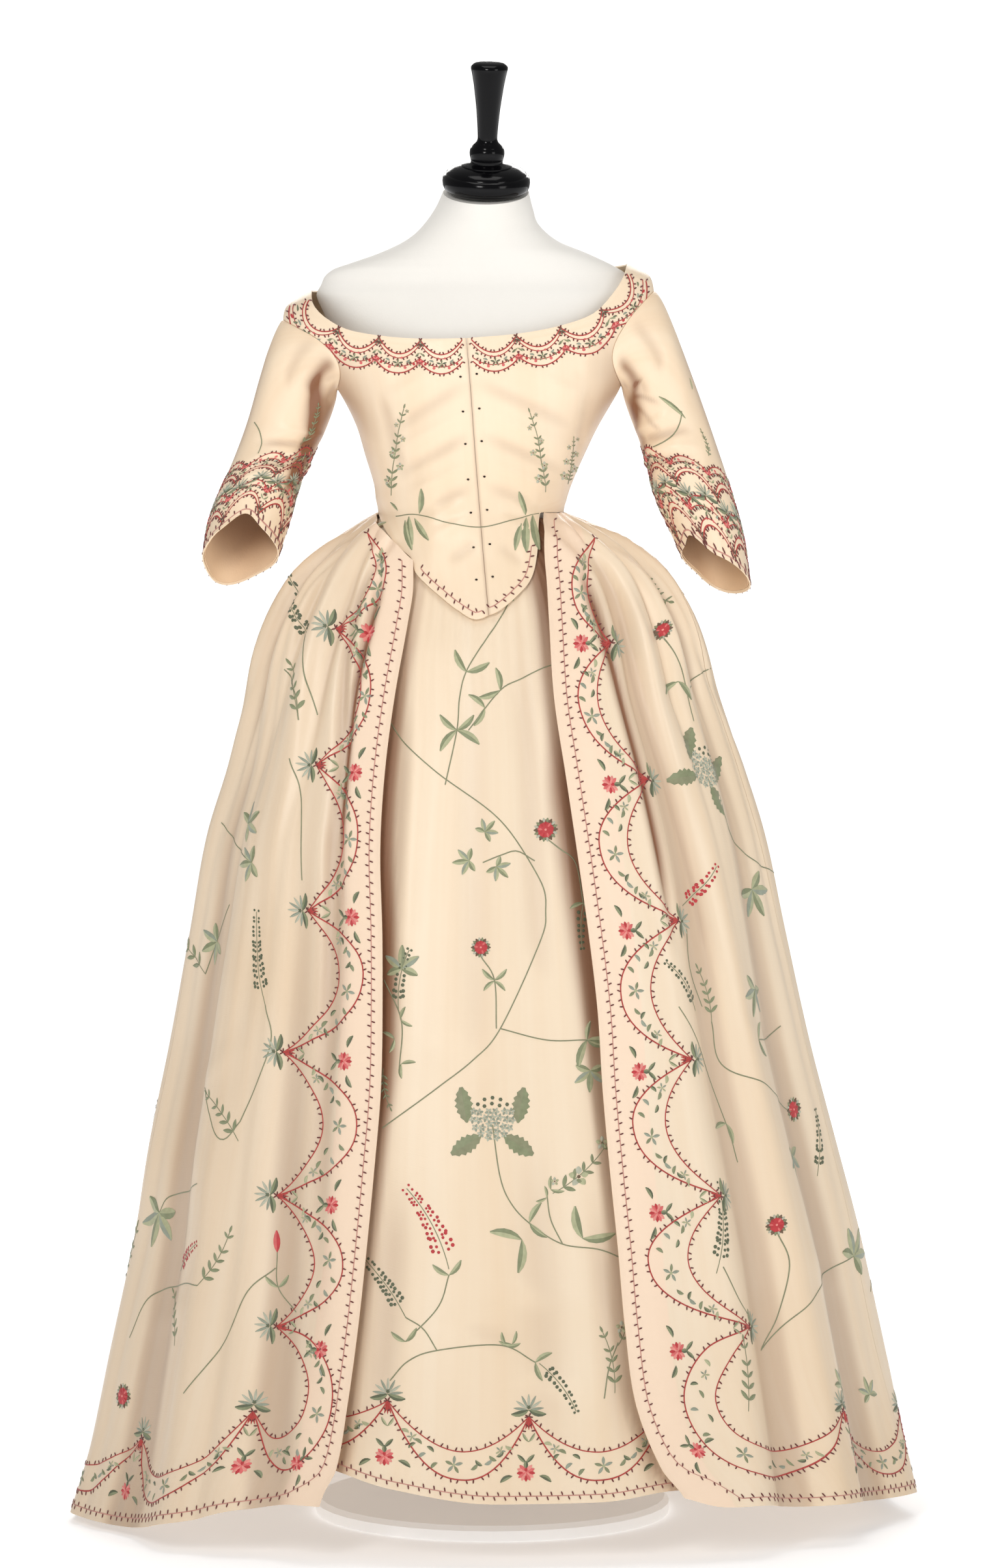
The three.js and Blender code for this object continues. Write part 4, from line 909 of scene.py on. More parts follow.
def sleevePoints(name, turn, along):
    turn, along = np.broadcast_arrays(np.asarray(turn, float), np.asarray(along, float))
    rings, side, look = sleeves[name]["rings"], sleeves[name]["side"], sleeveLook
    at = np.clip(along, 0, 1)
    middle = rings["middle"](at)
    outer = np.stack([rings["outerX"](at), middle, rings["outerZ"](at)], -1)
    inner = np.stack([rings["innerX"](at), middle, rings["innerZ"](at)], -1)
    reach = (outer - inner) / 2
    flat = reach / np.linalg.norm(reach, axis=-1, keepdims=True)
    down = np.stack([flat[..., 2] * side, np.zeros_like(at), -flat[..., 0] * side], -1)
    lean = (rings["lean"](at) * radian)[..., None]
    back = np.cos(lean) * np.array([0, 1, 0]) + np.sin(lean) * down
    wrapped = turn % 360
    crease = creaseField(wrapped, at * 400, sleeveCreases) * 1.7 * smoothStep(0.03, 0.12, at)
    for turnTo, depth, width in sleeves[name]["mouth"]:
        away = (wrapped - turnTo + 180) % 360 - 180
        crease = crease + depth * np.exp(-(away / width) ** 2) * smoothStep(0.8, 1, at)
    swell = 1 + (crease / np.linalg.norm(reach, axis=-1))[..., None]
    depth = rings["depth"](at)[..., None]
    cosine, sine = np.cos(turn * radian)[..., None], np.sin(turn * radian)[..., None]
    point = (outer + inner) / 2 + (reach * cosine + back * depth * sine) * swell
    angle, height = armholeEdge(turn, -0.4)
    bodice = partial(ringPoints, bodiceRings)
    root = bodice(side * angle, height) + normalsOf(bodice, side * angle, height, 0.9, 1.2) * look["lift"]
    point = point + (root - point) * (1 - smoothStep(0, look["headReach"], at))[..., None]
    return point + down * (np.minimum(along, 0) * 250)[..., None]


def cuffRise(name, turn, along):  # the cuff's front edge rises to a soft peak
    peakTurn, height, width = sleeves[name]["peak"]
    away = (turn - peakTurn + 180) % 360 - 180
    return along * (1 - height * np.exp(-(away / width) ** 2) * smoothStep(0.7, 1, along))


def sleevePaintedShade(name, turn, along):  # painted shade: brown next to the body and in the folds
    folds = np.clip(-creaseField(turn % 360, along * 400, sleeveCreases) * 0.14, 0, 0.3)
    return np.maximum(creaseField(turn % 360, along * 400, sleeves[name]["shades"]), folds)


def liningPaintedShade(turn, along):  # painted shade: the lining darkens with depth into the sleeve
    return 0.62 * (1 - smoothStep(0.8, 0.97, along - 0.03 * np.sin(turn * radian)))


def makeSleeves():
    look = sleeveLook
    turns = np.linspace(0, 1, look["columns"] + 1)[:-1]
    rows = np.linspace(0, 1, look["rows"])
    liningRows = np.linspace(look["liningFrom"], look["liningTo"], look["liningRows"])
    for name, sleeve in sleeves.items():
        def net(u, v, name=name):
            return u * 360, cuffRise(name, u * 360, v)

        surface = partial(sleevePoints, name)
        cloth = {"wall": look["wall"], "side": -sleeve["side"], "steps": (0.8, 0.006), "closed": True,
                 "shade": partial(sleevePaintedShade, name)}
        piece = clothShell(f"sleeve_{name}_silk", surface, net, turns, rows, cloth, bodiceSilk)
        declareCloth(piece, [f"sleeve_{name}"], look["flat"])
        cloth = {**cloth, "sunk": look["wall"] + look["liningGap"], "wall": look["liningWall"],
                 "shade": liningPaintedShade}
        piece = clothShell(f"sleeve_lining_{name}_cloth", surface, net, turns, liningRows, cloth, peachLining)
        declareCloth(piece, [f"sleeve_lining_{name}"], look["flatLining"])


# The dress form: torso, neck cap with its handle, and the stand.
formLook = {"columns": 112, "neckTop": 1410, "bust": 1290, "foot": 860, "capLean": 1.6, "capGap": 1.6,
            "capColumns": 96}
capProfile = [  # radius and height of the turned cap and handle, from the underside up
    (0, 0), (37.4, 0), (38.6, 0.5), (42, 2.2), (44.5, 4.6), (46, 8), (46.5, 12), (46.2, 15.6), (45, 18.6),
    (43.4, 20), (42.6, 20.4), (42.4, 21.4), (39.4, 24.3), (34, 27.2), (28.4, 28.9), (27, 29.2), (26.8, 30.3),
    (22, 31.6), (18.2, 32.2), (17.2, 33), (16.9, 34.4), (17.3, 36.6), (18.2, 40), (18.5, 43), (18.2, 46),
    (17.5, 48.4), (16.2, 49.6), (15.9, 50.4), (14.6, 52.6), (12.4, 54.6), (10.9, 56.4), (10.4, 58.4),
    (10.4, 61), (10.8, 68), (11.6, 79), (12.6, 90), (14.1, 102), (16, 116), (17.8, 126), (18.9, 131),
    (19.5, 133.4), (19.5, 135.2), (19, 137), (17.6, 138.9), (14.6, 140.3), (9, 141.2), (0, 141.5)]


def closedRings(name, rings, foot, top, material, sharp, node):  # a solid skinned over rings
    rows, columns = rings.shape[:2]
    j, i = (a.ravel() for a in np.meshgrid(np.arange(rows - 1), np.arange(columns), indexing="ij"))
    k = (i + 1) % columns
    low, high = j * columns, (j + 1) * columns
    faces = np.stack([low + i, low + k, high + k, high + i], 1).tolist()
    footPoint, topPoint, last = rows * columns, rows * columns + 1, (rows - 1) * columns
    faces += [(footPoint, (i + 1) % columns, i) for i in range(columns)]
    faces += [(topPoint, last + i, last + (i + 1) % columns) for i in range(columns)]
    points = np.concatenate([rings.reshape(-1, 3), [foot, top]])
    piece = meshObject(name, points, faces, material, sharp)
    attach(piece, "root")
    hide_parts(node)


def makeForm():
    look = formLook
    heights = np.concatenate([np.linspace(look["foot"], look["bust"], 70)[:-1],
                              np.linspace(look["bust"], look["neckTop"], 60)])
    angles = np.linspace(-180, 180, look["columns"] + 1)[:-1]
    rings = ringPoints(formRings, *np.meshgrid(angles, heights))
    closedRings("form_torso_jersey", rings, rings[0].mean(0), rings[-1].mean(0), jersey, 60,
                "form_torso")

    top = look["neckTop"]
    middle = Vector((ringPoints(formRings, 0, top) + ringPoints(formRings, 180, top)) / 2)
    place = Matrix.Translation(middle + Vector((0, 0, look["capGap"])))
    place = place @ Matrix.Rotation(math.atan(float(formRings["pitch"](top))), 4, "X")
    place = np.array(place @ Matrix.Rotation(look["capLean"] * radian, 4, "Y"))
    radii, levels = np.array(capProfile).T
    turns = np.arange(look["capColumns"]) * 2 * math.pi / look["capColumns"]
    rings = np.stack([radii[:, None] * np.cos(turns), radii[:, None] * np.sin(turns),
                      levels[:, None] * np.ones_like(turns)], -1) @ place[:3, :3].T + place[:3, 3]
    closedRings("form_cap_turned", rings[1:-1], rings[0, 0], rings[-1, 0], blackLacquer, 38,
                "form_cap_and_handle")
    for node, material in (("stand_base", whiteEnamel), ("stand_pole", satinIron)):
        bpy.data.objects[node].data.materials.clear()
        bpy.data.objects[node].data.materials.append(material)


makeBodice()
makeSleeves()
makeForm()
print("bodice, sleeves and form made")

# Needlework: shapes drawn flat, then laid on a panel and raised a little.
inks = {"line": paint(190, 66, 60), "barb": paint(112, 50, 46), "dark": paint(96, 104, 78),
        "leaf": paint(140, 147, 112), "pale": paint(184, 186, 148), "grey": paint(156, 164, 146),
        "ash": paint(192, 194, 174), "pink": paint(228, 110, 108), "rose": paint(240, 152, 142),
        "red": paint(196, 50, 56), "stem": paint(144, 146, 114), "brown": paint(112, 88, 66),
        "blush": paint(212, 152, 138)}
stitchLook = {"width": 1.9, "height": 1.33, "stretch": 1.1, "lift": 0.25}


def stepFrom(place, angle, distance):
    return np.array([place[0] + math.cos(angle * radian) * distance,
                     place[1] + math.sin(angle * radian) * distance])


def runOf(path):  # the length walked up to each point
    return np.concatenate([[0], np.cumsum(np.linalg.norm(np.diff(path, axis=0), axis=1))])


def evenly(path, step):
    path = np.asarray(path, float)
    run = runOf(path)
    at = np.linspace(0, run[-1], max(3, int(run[-1] / step) + 1))
    return np.stack([np.interp(at, run, path[:, 0]), np.interp(at, run, path[:, 1])], 1)


def headings(path):  # the ways along a path and to its left
    along = np.gradient(path, axis=0)
    along /= np.maximum(np.linalg.norm(along, axis=1, keepdims=True), 1e-9)
    return along, np.stack([-along[:, 1], along[:, 0]], 1)


def smoothPath(points, step):
    points = np.asarray(points, float)
    if len(points) == 2:
        return evenly(points, step)
    ends = np.vstack([2 * points[0] - points[1], points, 2 * points[-1] - points[-2]])
    t = np.linspace(0, 1, 13)[:-1, None]
    fine = [0.5 * (2 * b + (c - a) * t + (2 * a - 5 * b + 4 * c - d) * t ** 2
                   + (3 * b - a - 3 * c + d) * t ** 3)
            for a, b, c, d in zip(ends, ends[1:], ends[2:], ends[3:])]
    return evenly(np.vstack([*fine, points[-1:]]), step)


def arcPath(place, angle, length, bend, count=13):
    heading = (angle + bend * (np.linspace(0, 1, count) - 0.5)) * radian
    steps = np.stack([np.cos(heading), np.sin(heading)], 1) * length / (count - 1)
    return np.asarray(place, float) + np.cumsum(steps, 0) - steps[0]


class Needlework:
    def __init__(self, name, toSurface, surface, side, steps):
        self.name, self.toSurface, self.surface, self.side, self.steps = name, toSurface, surface, side, steps
        self.points, self.tints, self.faces, self.barbs = [], [], [], []

    def rows(self, grid, ink):  # a strip of points in rows, each (s, t, lift)
        grid = np.asarray(grid, float)
        count, width = grid.shape[:2]
        first = len(self.points)
        self.points += grid.reshape(-1, 3).tolist()
        self.tints += [inks[ink]] * (count * width)
        for j in range(count - 1):
            for i in range(width - 1):
                a = first + j * width + i
                self.faces += [(a, a + 1, a + width + 1), (a, a + width + 1, a + width)]

    def ribbon(self, path, width, ink, lift=0.6):
        path = np.asarray(path, float)
        across = headings(path)[1] * width / 2
        low, high = np.full((len(path), 1), 0.2), np.full((len(path), 1), lift)
        self.rows(np.stack([np.hstack([path - across, low]), np.hstack([path, high]),
                            np.hstack([path + across, low])], 1), ink)

    def stem(self, points, width=1.3, ink="stem"):
        self.ribbon(smoothPath(points, 4.5), width, ink)

    def leaf(self, place, angle, length, width, ink, other=None, bend=0, teeth=0, fat=0.5):
        count = teeth * 2 if teeth else 5
        t = np.linspace(0, 1, count + 1)
        heading = (angle + bend * (t - 0.5)) * radian
        middle = np.stack([np.cos(heading), np.sin(heading)], 1) * length / count
        middle = np.asarray(place, float) + np.cumsum(middle, 0) - middle[0]
        wide = np.sin(math.pi * t ** (0.5 / fat) * 0.94 + 0.06) ** 0.8
        wide = np.maximum(wide, 0.05) * width / 2
        if teeth:
            wide[1::2] *= 0.72
        across = np.stack([-np.sin(heading), np.cos(heading)], 1)
        high = 0.35 + 0.55 * np.sin(math.pi * np.clip(t, 0.08, 0.92))
        for sign, colour in ((-1, ink), (1, other or ink)):
            rim = np.hstack([middle + across * (sign * wide)[:, None], np.full((count + 1, 1), 0.2)])
            ridge = np.hstack([middle, high[:, None]])
            self.rows(np.stack([rim, ridge], 1), colour)

    def disc(self, place, radius, ink, lift=0.9, sides=7):
        first = len(self.points)
        rim = [stepFrom(place, 360 * i / sides, radius) for i in range(sides)]
        self.points += [[*place, lift]] + [[*spot, 0.2] for spot in rim]
        self.tints += [inks[ink]] * (sides + 1)
        self.faces += [(first, first + 1 + i, first + 1 + (i + 1) % sides) for i in range(sides)]

    def petals(self, place, count, start, sweep, inner, length, width, colours, fat=0.5):
        for i in range(count):
            angle = start + sweep * (i / (count - 1))
            self.leaf(stepFrom(place, angle, inner), angle, length, width, colours[i % len(colours)], fat=fat)

    def barbLine(self, path, length, gap, lean, both=False):  # short stitches beside a line
        path = evenly(path, gap)
        for i, (at, run, out) in enumerate(zip(path, *headings(path))):
            flip = -lean if both and i % 2 else lean
            self.barbs.append((at, at + out * flip * length + run * (0.35 if i % 2 else -0.35) * length))

    def motif(self, kind, place, angle, size, *more):  # the motifs below, by name
        getattr(self, kind)(place, angle, size, *more)

    def starFlower(self, place, angle, size):  # slender petals over two long leaves
        self.petals(place, 7, angle - 84, 168, size * 0.12, size, size * 0.2, ("grey", "ash"))
        self.disc(stepFrom(place, angle, size * 0.2), size * 0.16, "dark")
        for turn in (-108, 108):
            self.leaf(place, angle + turn, size * 1.35, size * 0.42, "dark", "leaf", bend=-turn * 0.35)

    def smallStar(self, place, angle, size, colours=("grey",)):
        self.petals(place, 5, angle, 288, size * 0.15, size, size * 0.4, colours)
        self.disc(place, size * 0.22, "pale")

    def carnation(self, place, angle, size):  # the flower opens towards the angle
        outer, inner = ("pink", "rose", "red"), ("rose", "pink")
        self.petals(place, 11, angle - 138, 276, size * 0.1, size * 0.42, size * 0.25, outer, 0.7)
        self.petals(place, 6, angle - 100, 200, 0, size * 0.3, size * 0.22, inner, 0.65)
        self.disc(stepFrom(place, angle, -size * 0.14), size * 0.14, "red")
        self.leaf(stepFrom(place, angle, -size * 0.62), angle, size * 0.42, size * 0.26, "leaf", "dark")

    def comma(self, place, angle, size, ink="dark"):
        self.leaf(place, angle, size, size * 0.42, ink, "leaf" if ink == "dark" else ink, bend=60)

    def leafPair(self, place, angle, length, opening=52, ink="leaf"):
        other = "pale" if ink == "leaf" else "leaf"
        for turn in (-opening, opening):
            self.leaf(place, angle + turn, length, length * 0.27, ink, other, bend=-turn * 0.7)

    def starLeaves(self, place, angle, size):  # a fan of pointed leaves
        for i, turn in enumerate((-118, -62, -12, 42, 98)):
            self.leaf(place, angle + turn, size * (0.8, 1, 1.1, 1, 0.75)[i], size * 0.36,
                      ("leaf", "grey")[i % 2], "pale", bend=turn * 0.2)

    def sprig(self, place, angle, length, leafShare=0.18, leaves=5, bend=30):
        path = arcPath(place, angle, length, bend)
        self.ribbon(path, 0.9, "stem", 0.5)
        along = headings(path)[0]
        for i in range(leaves):
            k = int((i + 1) / (leaves + 0.4) * (len(path) - 1))
            turn = math.atan2(along[k][1], along[k][0]) / radian
            scale = length * leafShare * (1 - 0.45 * i / leaves)
            for sign in (-1, 1):
                self.leaf(path[k], turn + sign * 48, scale, scale * 0.36, "leaf")
        self.leaf(path[-1], angle + bend / 2, length * leafShare * 0.7, length * leafShare * 0.24, "leaf")

    def spike(self, place, angle, length, ink, bend):  # berries along a curved stem
        path = arcPath(place, angle, length, bend, 40)
        self.ribbon(path, 0.9, "stem", 0.5)
        along = headings(path)[0]
        count = max(5, int(length / 6))
        for i in range(count):
            k = int((0.2 + 0.8 * i / (count - 1)) * (len(path) - 1))
            turn = math.atan2(along[k][1], along[k][0])
            reach = length * {"red": 0.13, "dark": 0.09}[ink] * (1 - 0.7 * i / count)
            for sign in (-1, 1):
                away = turn + sign * (1.1 + 0.2 * math.sin(i * 2.3))
                for share, radius in ((0.5, 1.3), (1.0, 1.6)):
                    if reach > 5 or share == 1.0:
                        spot = path[k] + np.array([math.cos(away), math.sin(away)]) * reach * share
                        self.disc(spot, radius * (1.35 - 0.5 * i / count), ink, 0.9, 6)

    def bud(self, place, angle, size):  # a slim red bud over a pair of leaves
        self.leaf(place, angle, size, size * 0.34, "red", "pink", fat=0.55)
        self.leafPair(stepFrom(place, angle, -size * 1.6), angle, size * 0.8)
        self.stem((place, stepFrom(place, angle, -size * 1.6), stepFrom(place, angle + 20, -size * 3)), 1.1)

    def blossom(self, place, angle, size):  # a red ball in a ring of grey petals
        ball, ring = ("red", "pink", "red"), ("brown", "leaf", "ash")
        self.disc(place, size * 0.42, "brown", 0.35, 16)
        self.petals(place, 18, angle, 340, size * 0.3, size * 0.19, size * 0.11, ring)
        self.disc(place, size * 0.33, "red", 1.0, 14)
        self.petals(place, 9, angle + 12, 320, size * 0.08, size * 0.26, size * 0.14, ball, 0.6)
        self.disc(place, size * 0.13, "rose", 1.3)

    def flowerHead(self, place, angle, size):  # a cluster of grey florets between four serrated leaves
        for sign in (-1, 1):
            for out, start, turn in ((92, 0.62, 10), (140, 0.42, 122)):
                self.leaf(stepFrom(place, angle + sign * out, size * start), angle + sign * turn, size * 0.86,
                          size * 0.46, "leaf", "stem", teeth=6)
        middle = stepFrom(place, angle, size * 0.1)
        for ring, count in ((0.0, 1), (0.17, 6), (0.34, 11), (0.48, 15)):
            for i in range(count):
                around = angle + 360 * i / count + ring * 200
                spot = stepFrom(middle, around, size * ring)
                if ring > 0.3 and math.cos((around - angle) * radian) > 0.5:  # the crown is still in bud
                    self.disc(spot, size * 0.05, "dark", 1.0, 6)
                else:
                    self.petals(spot, 5, around, 288, size * 0.012, size * 0.085, size * 0.06,
                                ("ash", "grey"), 0.6)

    def openFlower(self, place, angle, size):  # five pale rounded petals
        self.petals(place, 5, angle, 288, size * 0.14, size * 0.4, size * 0.34, ("pale", "ash"), 0.62)
        self.disc(place, size * 0.1, "brown")

    def build(self):
        points = np.array(self.points)
        place = self.toSurface(points[:, 0], points[:, 1])
        out = normalsOf(self.surface, *place, *self.steps) * self.side
        points = self.surface(*place) + out * points[:, 2:]
        faces = np.array(self.faces)
        corners = points[faces]
        facing = np.cross(corners[:, 1] - corners[:, 0], corners[:, 2] - corners[:, 0])
        area = np.linalg.norm(facing, axis=1)
        turned = np.einsum("ij,ij->i", facing, out[faces[:, 0]]) < 0
        faces[turned] = faces[turned][:, ::-1]
        longest = np.linalg.norm(corners[:, [1, 2, 0]] - corners, axis=2).max(1)
        faces = faces[(area > 1e-4) & (longest < 22)]  # none that jumps across a gap between panels
        piece = meshObject(f"{self.name}_embroidery", points, faces.tolist(), thread)
        addMarks(piece.data, "tint", "FLOAT_COLOR", self.tints)
        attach(piece, "root")
        if self.barbs:
            makeStitches(self)


def stitchNodes():  # a small ball on every point, stretched along the stitch
    tree = bpy.data.node_groups.new("raisedStitches", "GeometryNodeTree")
    tree.interface.new_socket("Geometry", in_out="OUTPUT", socket_type="NodeSocketGeometry")
    for name, kind in (("Geometry", "Geometry"), ("Thread", "Material"), ("Plumpness", "Float")):
        tree.interface.new_socket(name, in_out="INPUT", socket_type=f"NodeSocket{kind}")

    def node(kind, sockets=None, **settings):
        made = tree.nodes.new(kind)
        for key, value in settings.items():
            setattr(made, key, value)
        for key, value in (sockets or {}).items():
            if isinstance(value, bpy.types.NodeSocket):
                tree.links.new(value, made.inputs[key])
            else:
                made.inputs[key].default_value = value
        return made

    def named(name):
        made = node("GeometryNodeInputNamedAttribute", {"Name": name}, data_type="FLOAT_VECTOR")
        return made.outputs["Attribute"]

    given = node("NodeGroupInput").outputs
    ball = node("GeometryNodeMeshUVSphere", {"Segments": 6, "Rings": 3, "Radius": 0.5})
    turn = node("FunctionNodeAxesToRotation", {"Primary Axis": named("up"), "Secondary Axis": named("along")},
                primary_axis="Z", secondary_axis="X")
    scale = node("ShaderNodeCombineXYZ", {"X": 1.0, "Y": given["Plumpness"], "Z": given["Plumpness"]})
    size = node("ShaderNodeVectorMath", {0: named("size"), 1: scale.outputs[0]}, operation="MULTIPLY")
    copies = node("GeometryNodeInstanceOnPoints", {
        "Points": given["Geometry"], "Instance": ball.outputs["Mesh"], "Rotation": turn.outputs["Rotation"],
        "Scale": size.outputs["Vector"]})
    real = node("GeometryNodeRealizeInstances", {"Geometry": copies.outputs["Instances"]})
    smooth = node("GeometryNodeSetShadeSmooth", {"Geometry": real.outputs["Geometry"]})
    dressed = node("GeometryNodeSetMaterial", {"Geometry": smooth.outputs["Geometry"],
                                               "Material": given["Thread"]})
    node("NodeGroupOutput", {"Geometry": dressed.outputs["Geometry"]})
    return tree


stitchTree = stitchNodes()


def instanced(name, points, vectors, ink, material):  # stitches or hooks as one plain mesh
    seeds = bpy.data.meshes.new(name + "_seeds")
    seeds.from_pydata((points / 1000).tolist(), [], [])
    for key, values in vectors.items():
        addMarks(seeds, key, "FLOAT_VECTOR", values)
    addMarks(seeds, "tint", "FLOAT_COLOR", [inks[ink]] * len(points))
    piece = placed(name, seeds)
    modifier = piece.modifiers.new("stitches", "NODES")
    modifier.node_group = stitchTree
    given = {"Thread": material, "Plumpness": 1.0}
    for item in stitchTree.interface.items_tree:
        if item.in_out == "INPUT" and item.name in given:
            modifier[item.identifier] = given[item.name]
    shaped = bpy.data.meshes.new_from_object(piece.evaluated_get(bpy.context.evaluated_depsgraph_get()))
    piece.modifiers.remove(modifier)
    shaped.name = name
    piece.data = shaped
    bpy.data.meshes.remove(seeds)
    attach(piece, "root")


def makeStitches(work):
    look, (starts, tips) = stitchLook, np.array(work.barbs).transpose(1, 0, 2)
    place = work.toSurface(*((starts + tips) / 2).T)
    out = normalsOf(work.surface, *place, *work.steps) * work.side
    along = work.surface(*work.toSurface(*tips.T)) - work.surface(*work.toSurface(*starts.T))
    length = np.linalg.norm(along, axis=1)
    kept = (length > 0.5) & (length < 14)
    width, height = np.full_like(length, look["width"]), np.full_like(length, look["height"])
    sizes = np.stack([length * look["stretch"], width, height], 1) / 1000
    points = work.surface(*place) + out * look["lift"]
    vectors = {"along": along[kept], "up": out[kept], "size": sizes[kept]}
    instanced(f"{work.name}_stitches", points[kept], vectors, "barb", thread)


# Borders: a barbed edge line and scallops of two barbed lines, with flowers at peaks and hollows.
def scallopPath(first, last, toEdge, depth, power):
    t = np.linspace(-1, 1, 25)[:, None]
    chord = mix(np.asarray(first, float), np.asarray(last, float), (t + 1) / 2)
    return chord + np.asarray(toEdge, float) * depth * (1 - np.abs(t) ** power)


scallopCommas = (  # from the middle along a scallop, across it, angle, ink
    (0.09, 0.36, 40, "leaf"), (0.12, 0.66, -40, "dark"), (0.16, 0.4, 30, "grey"), (0.2, 0.62, -35, "leaf"),
    (0.24, 0.4, 35, "dark"), (0.3, 0.52, -20, "pale"),
)


def scallop(work, outer, inner, lean):
    for path, side, width in ((outer, 1, 1.5), (inner, -1, 1.2)):
        path = evenly(path, 3.6)
        work.ribbon(path, width, "line", 0.7)
        work.barbLine(path, 4.3, 7.6, lean * side)
    outer, inner = evenly(outer, 2), evenly(inner, 2)

    def between(share, across=0.5):
        return mix(outer[int(share * (len(outer) - 1))], inner[int(share * (len(inner) - 1))], across)

    span = outer[-1] - outer[0]
    run = math.atan2(span[1], span[0]) / radian
    work.smallStar(between(0.5), run + 90, 8, ("grey", "leaf"))
    for sign, heading in ((1, run), (-1, run + 180)):
        for away, across, turn, ink in scallopCommas:
            work.comma(between(0.5 + sign * away, across), heading + turn, 9, ink)
        work.smallStar(between(0.5 + sign * 0.27), heading, 4.6, ("grey", "pale"))


def hemScallop(work, first, last, hemHeight, outer, lean, flat=np.asarray):  # between two peaks above a hem
    drop = (first[1] + last[1]) / 2 - hemHeight
    scallop(work, flat(scallopPath(first, last, (0, -1), drop - outer, 2.3)),
            flat(scallopPath(first, last, (0, -1), drop - 50, 1.9)), lean)


def peak(work, place, outward):  # the flowers above and below the meeting of two scallops
    for turn in (-16, 0, 16):
        work.leaf(stepFrom(place, outward + 180, 1), outward + 180 + turn, 12, 2.2, "line")
    work.starFlower(stepFrom(place, outward, 7), outward, 14)
    work.leafPair(stepFrom(place, outward + 180, 25), outward, 11, 38, "pale")


def carnationAt(work, place, outward, size=1.0):
    work.carnation(place, outward + 180, 18 * size)
    for turn in (-1, 1):
        spot = stepFrom(stepFrom(place, outward + 90 * turn, 14 * size), outward, -4 * size)
        work.leaf(spot, outward + 112.5 * turn, 14 * size, 4.8 * size, "dark", "leaf", bend=50 * turn)
        spot = stepFrom(place, outward, 9 * size)
        work.leaf(spot, outward + 46 * turn, 12 * size, 4 * size, "dark", "leaf")


def edgeLine(work, path, lean=1):
    path = evenly(path, 3.6)
    work.ribbon(path, 1.1, "blush", 0.5)
    work.barbLine(path, 4.6, 5.4, lean, True)


# The petticoat's front: a scalloped hem under scattered sprays, all as across and height from the front.
petticoatStems = (
    ((21, 985), (8, 960), (-25, 910), (-34, 880), (-37, 845), (-49, 789)),
    ((80, 914), (58, 910), (30, 898), (8, 886), (-25, 845)),
    ((-107, 853), (-90, 830), (-57, 801), (8, 753), (49, 693), (55, 660), (49, 629), (8, 542), (-20, 510),
     (-56, 482), (-112, 440)),
    ((55, 735), (70, 722), (86, 708), (94, 668)), ((-12, 615), (2, 591), (4, 542)),
    ((8, 542), (57, 530), (97, 529)),
    ((0, 445), (8, 392), (20, 365), (40, 345), (72, 325), (110, 318), (140, 305)),
    ((72, 325), (60, 350), (56, 376)), ((-44, 294), (-55, 262), (-88, 227)),
    ((-104, 188), (-85, 208), (-56, 219), (8, 225), (44, 208)), ((-112, 590), (-93, 549), (-95, 500)),
    ((-56, 219), (-70, 240), (-88, 251)), ((113, 170), (118, 200), (128, 225)),
    ((44, 712), (26, 722), (10, 718), (-10, 710)),
)
petticoatPlants = {  # by kind: across, height, angle, size, and what the kind asks for
    "leafPair": (
        (-27, 905, 70, 26), (-37, 845, -80, 28), (-37, 845, 90, 24), (8, 886, 150, 24), (-8, 868, 190, 22),
        (2, 591, 90, 17), (2, 590, -90, 15), (97, 529, -60, 30), (97, 529, 30, 20), (38, 347, 10, 24),
        (30, 330, 215, 34), (92, 330, 55, 34), (56, 372, 150, 12), (-44, 294, 100, 20), (44, 208, -20, 20),
        (14, 224, 60, 15), (-88, 227, 100, 18), (60, 380, 40, 14), (20, 226, 120, 14), (94, 668, 250, 16),
        (-100, 530, 200, 15), (-93, 505, -40, 15), (-94, 550, 20, 14)),
    "starLeaves": ((-24, 712, 200, 16), (-8, 741, 60, 14), (4, 706, -30, 15), (-93, 601, 100, 22),
                   (100, 498, -80, 20)),
    "blossom": ((55, 743, 0, 25), (-12, 624, 0, 21)),
    "flowerHead": ((0, 448, 90, 42),),
    "spike": ((-44, 300, 118, 92, "red", 30), (48, 207, -52, 62, "dark", -30),
              (-88, 251, 128, 84, "dark", 20), (-96, 560, 80, 62, "dark", -30),
              (94, 668, -92, 46, "dark", 20)),
    "sprig": ((62, 376, 40, 74, 0.17), (124, 175, 100, 62, 0.17), (128, 222, 70, 44, 0.17),
              (-112, 500, -80, 40, 0.17)),
    "openFlower": ((88, 392, 20, 19), (112, 425, 20, 13), (64, 388, 20, 8), (132, 240, 20, 12),
                   (17, 984, 20, 15)),
}


def hemAt(x):
    return petticoatHem(turnAcross(petticoatRings, x, 90))


def embroiderPetticoat():
    work = Needlework("petticoat_front", partial(fromFront, petticoatRings), petticoatPoints, 1, (0.25, 1.2))
    x = np.linspace(-262, 262, 80)
    edgeLine(work, np.stack([x, hemAt(x) + 8], 1))
    peaks = [(x, float(hemAt(x)) + 87) for x in (-252, -106, 37, 184)]
    for first, last in zip(peaks, peaks[1:]):
        hemScallop(work, first, last, float(hemAt((first[0] + last[0]) / 2)), 22, -1)
    for x, z in peaks:
        peak(work, (x, z), 90)
        carnationAt(work, (x - 3, z - 55), 90)
    for stem in petticoatStems:
        work.stem(stem)
    for kind, plants in petticoatPlants.items():
        for x, z, *rest in plants:
            work.motif(kind, (x, z), *rest)
    work.build()


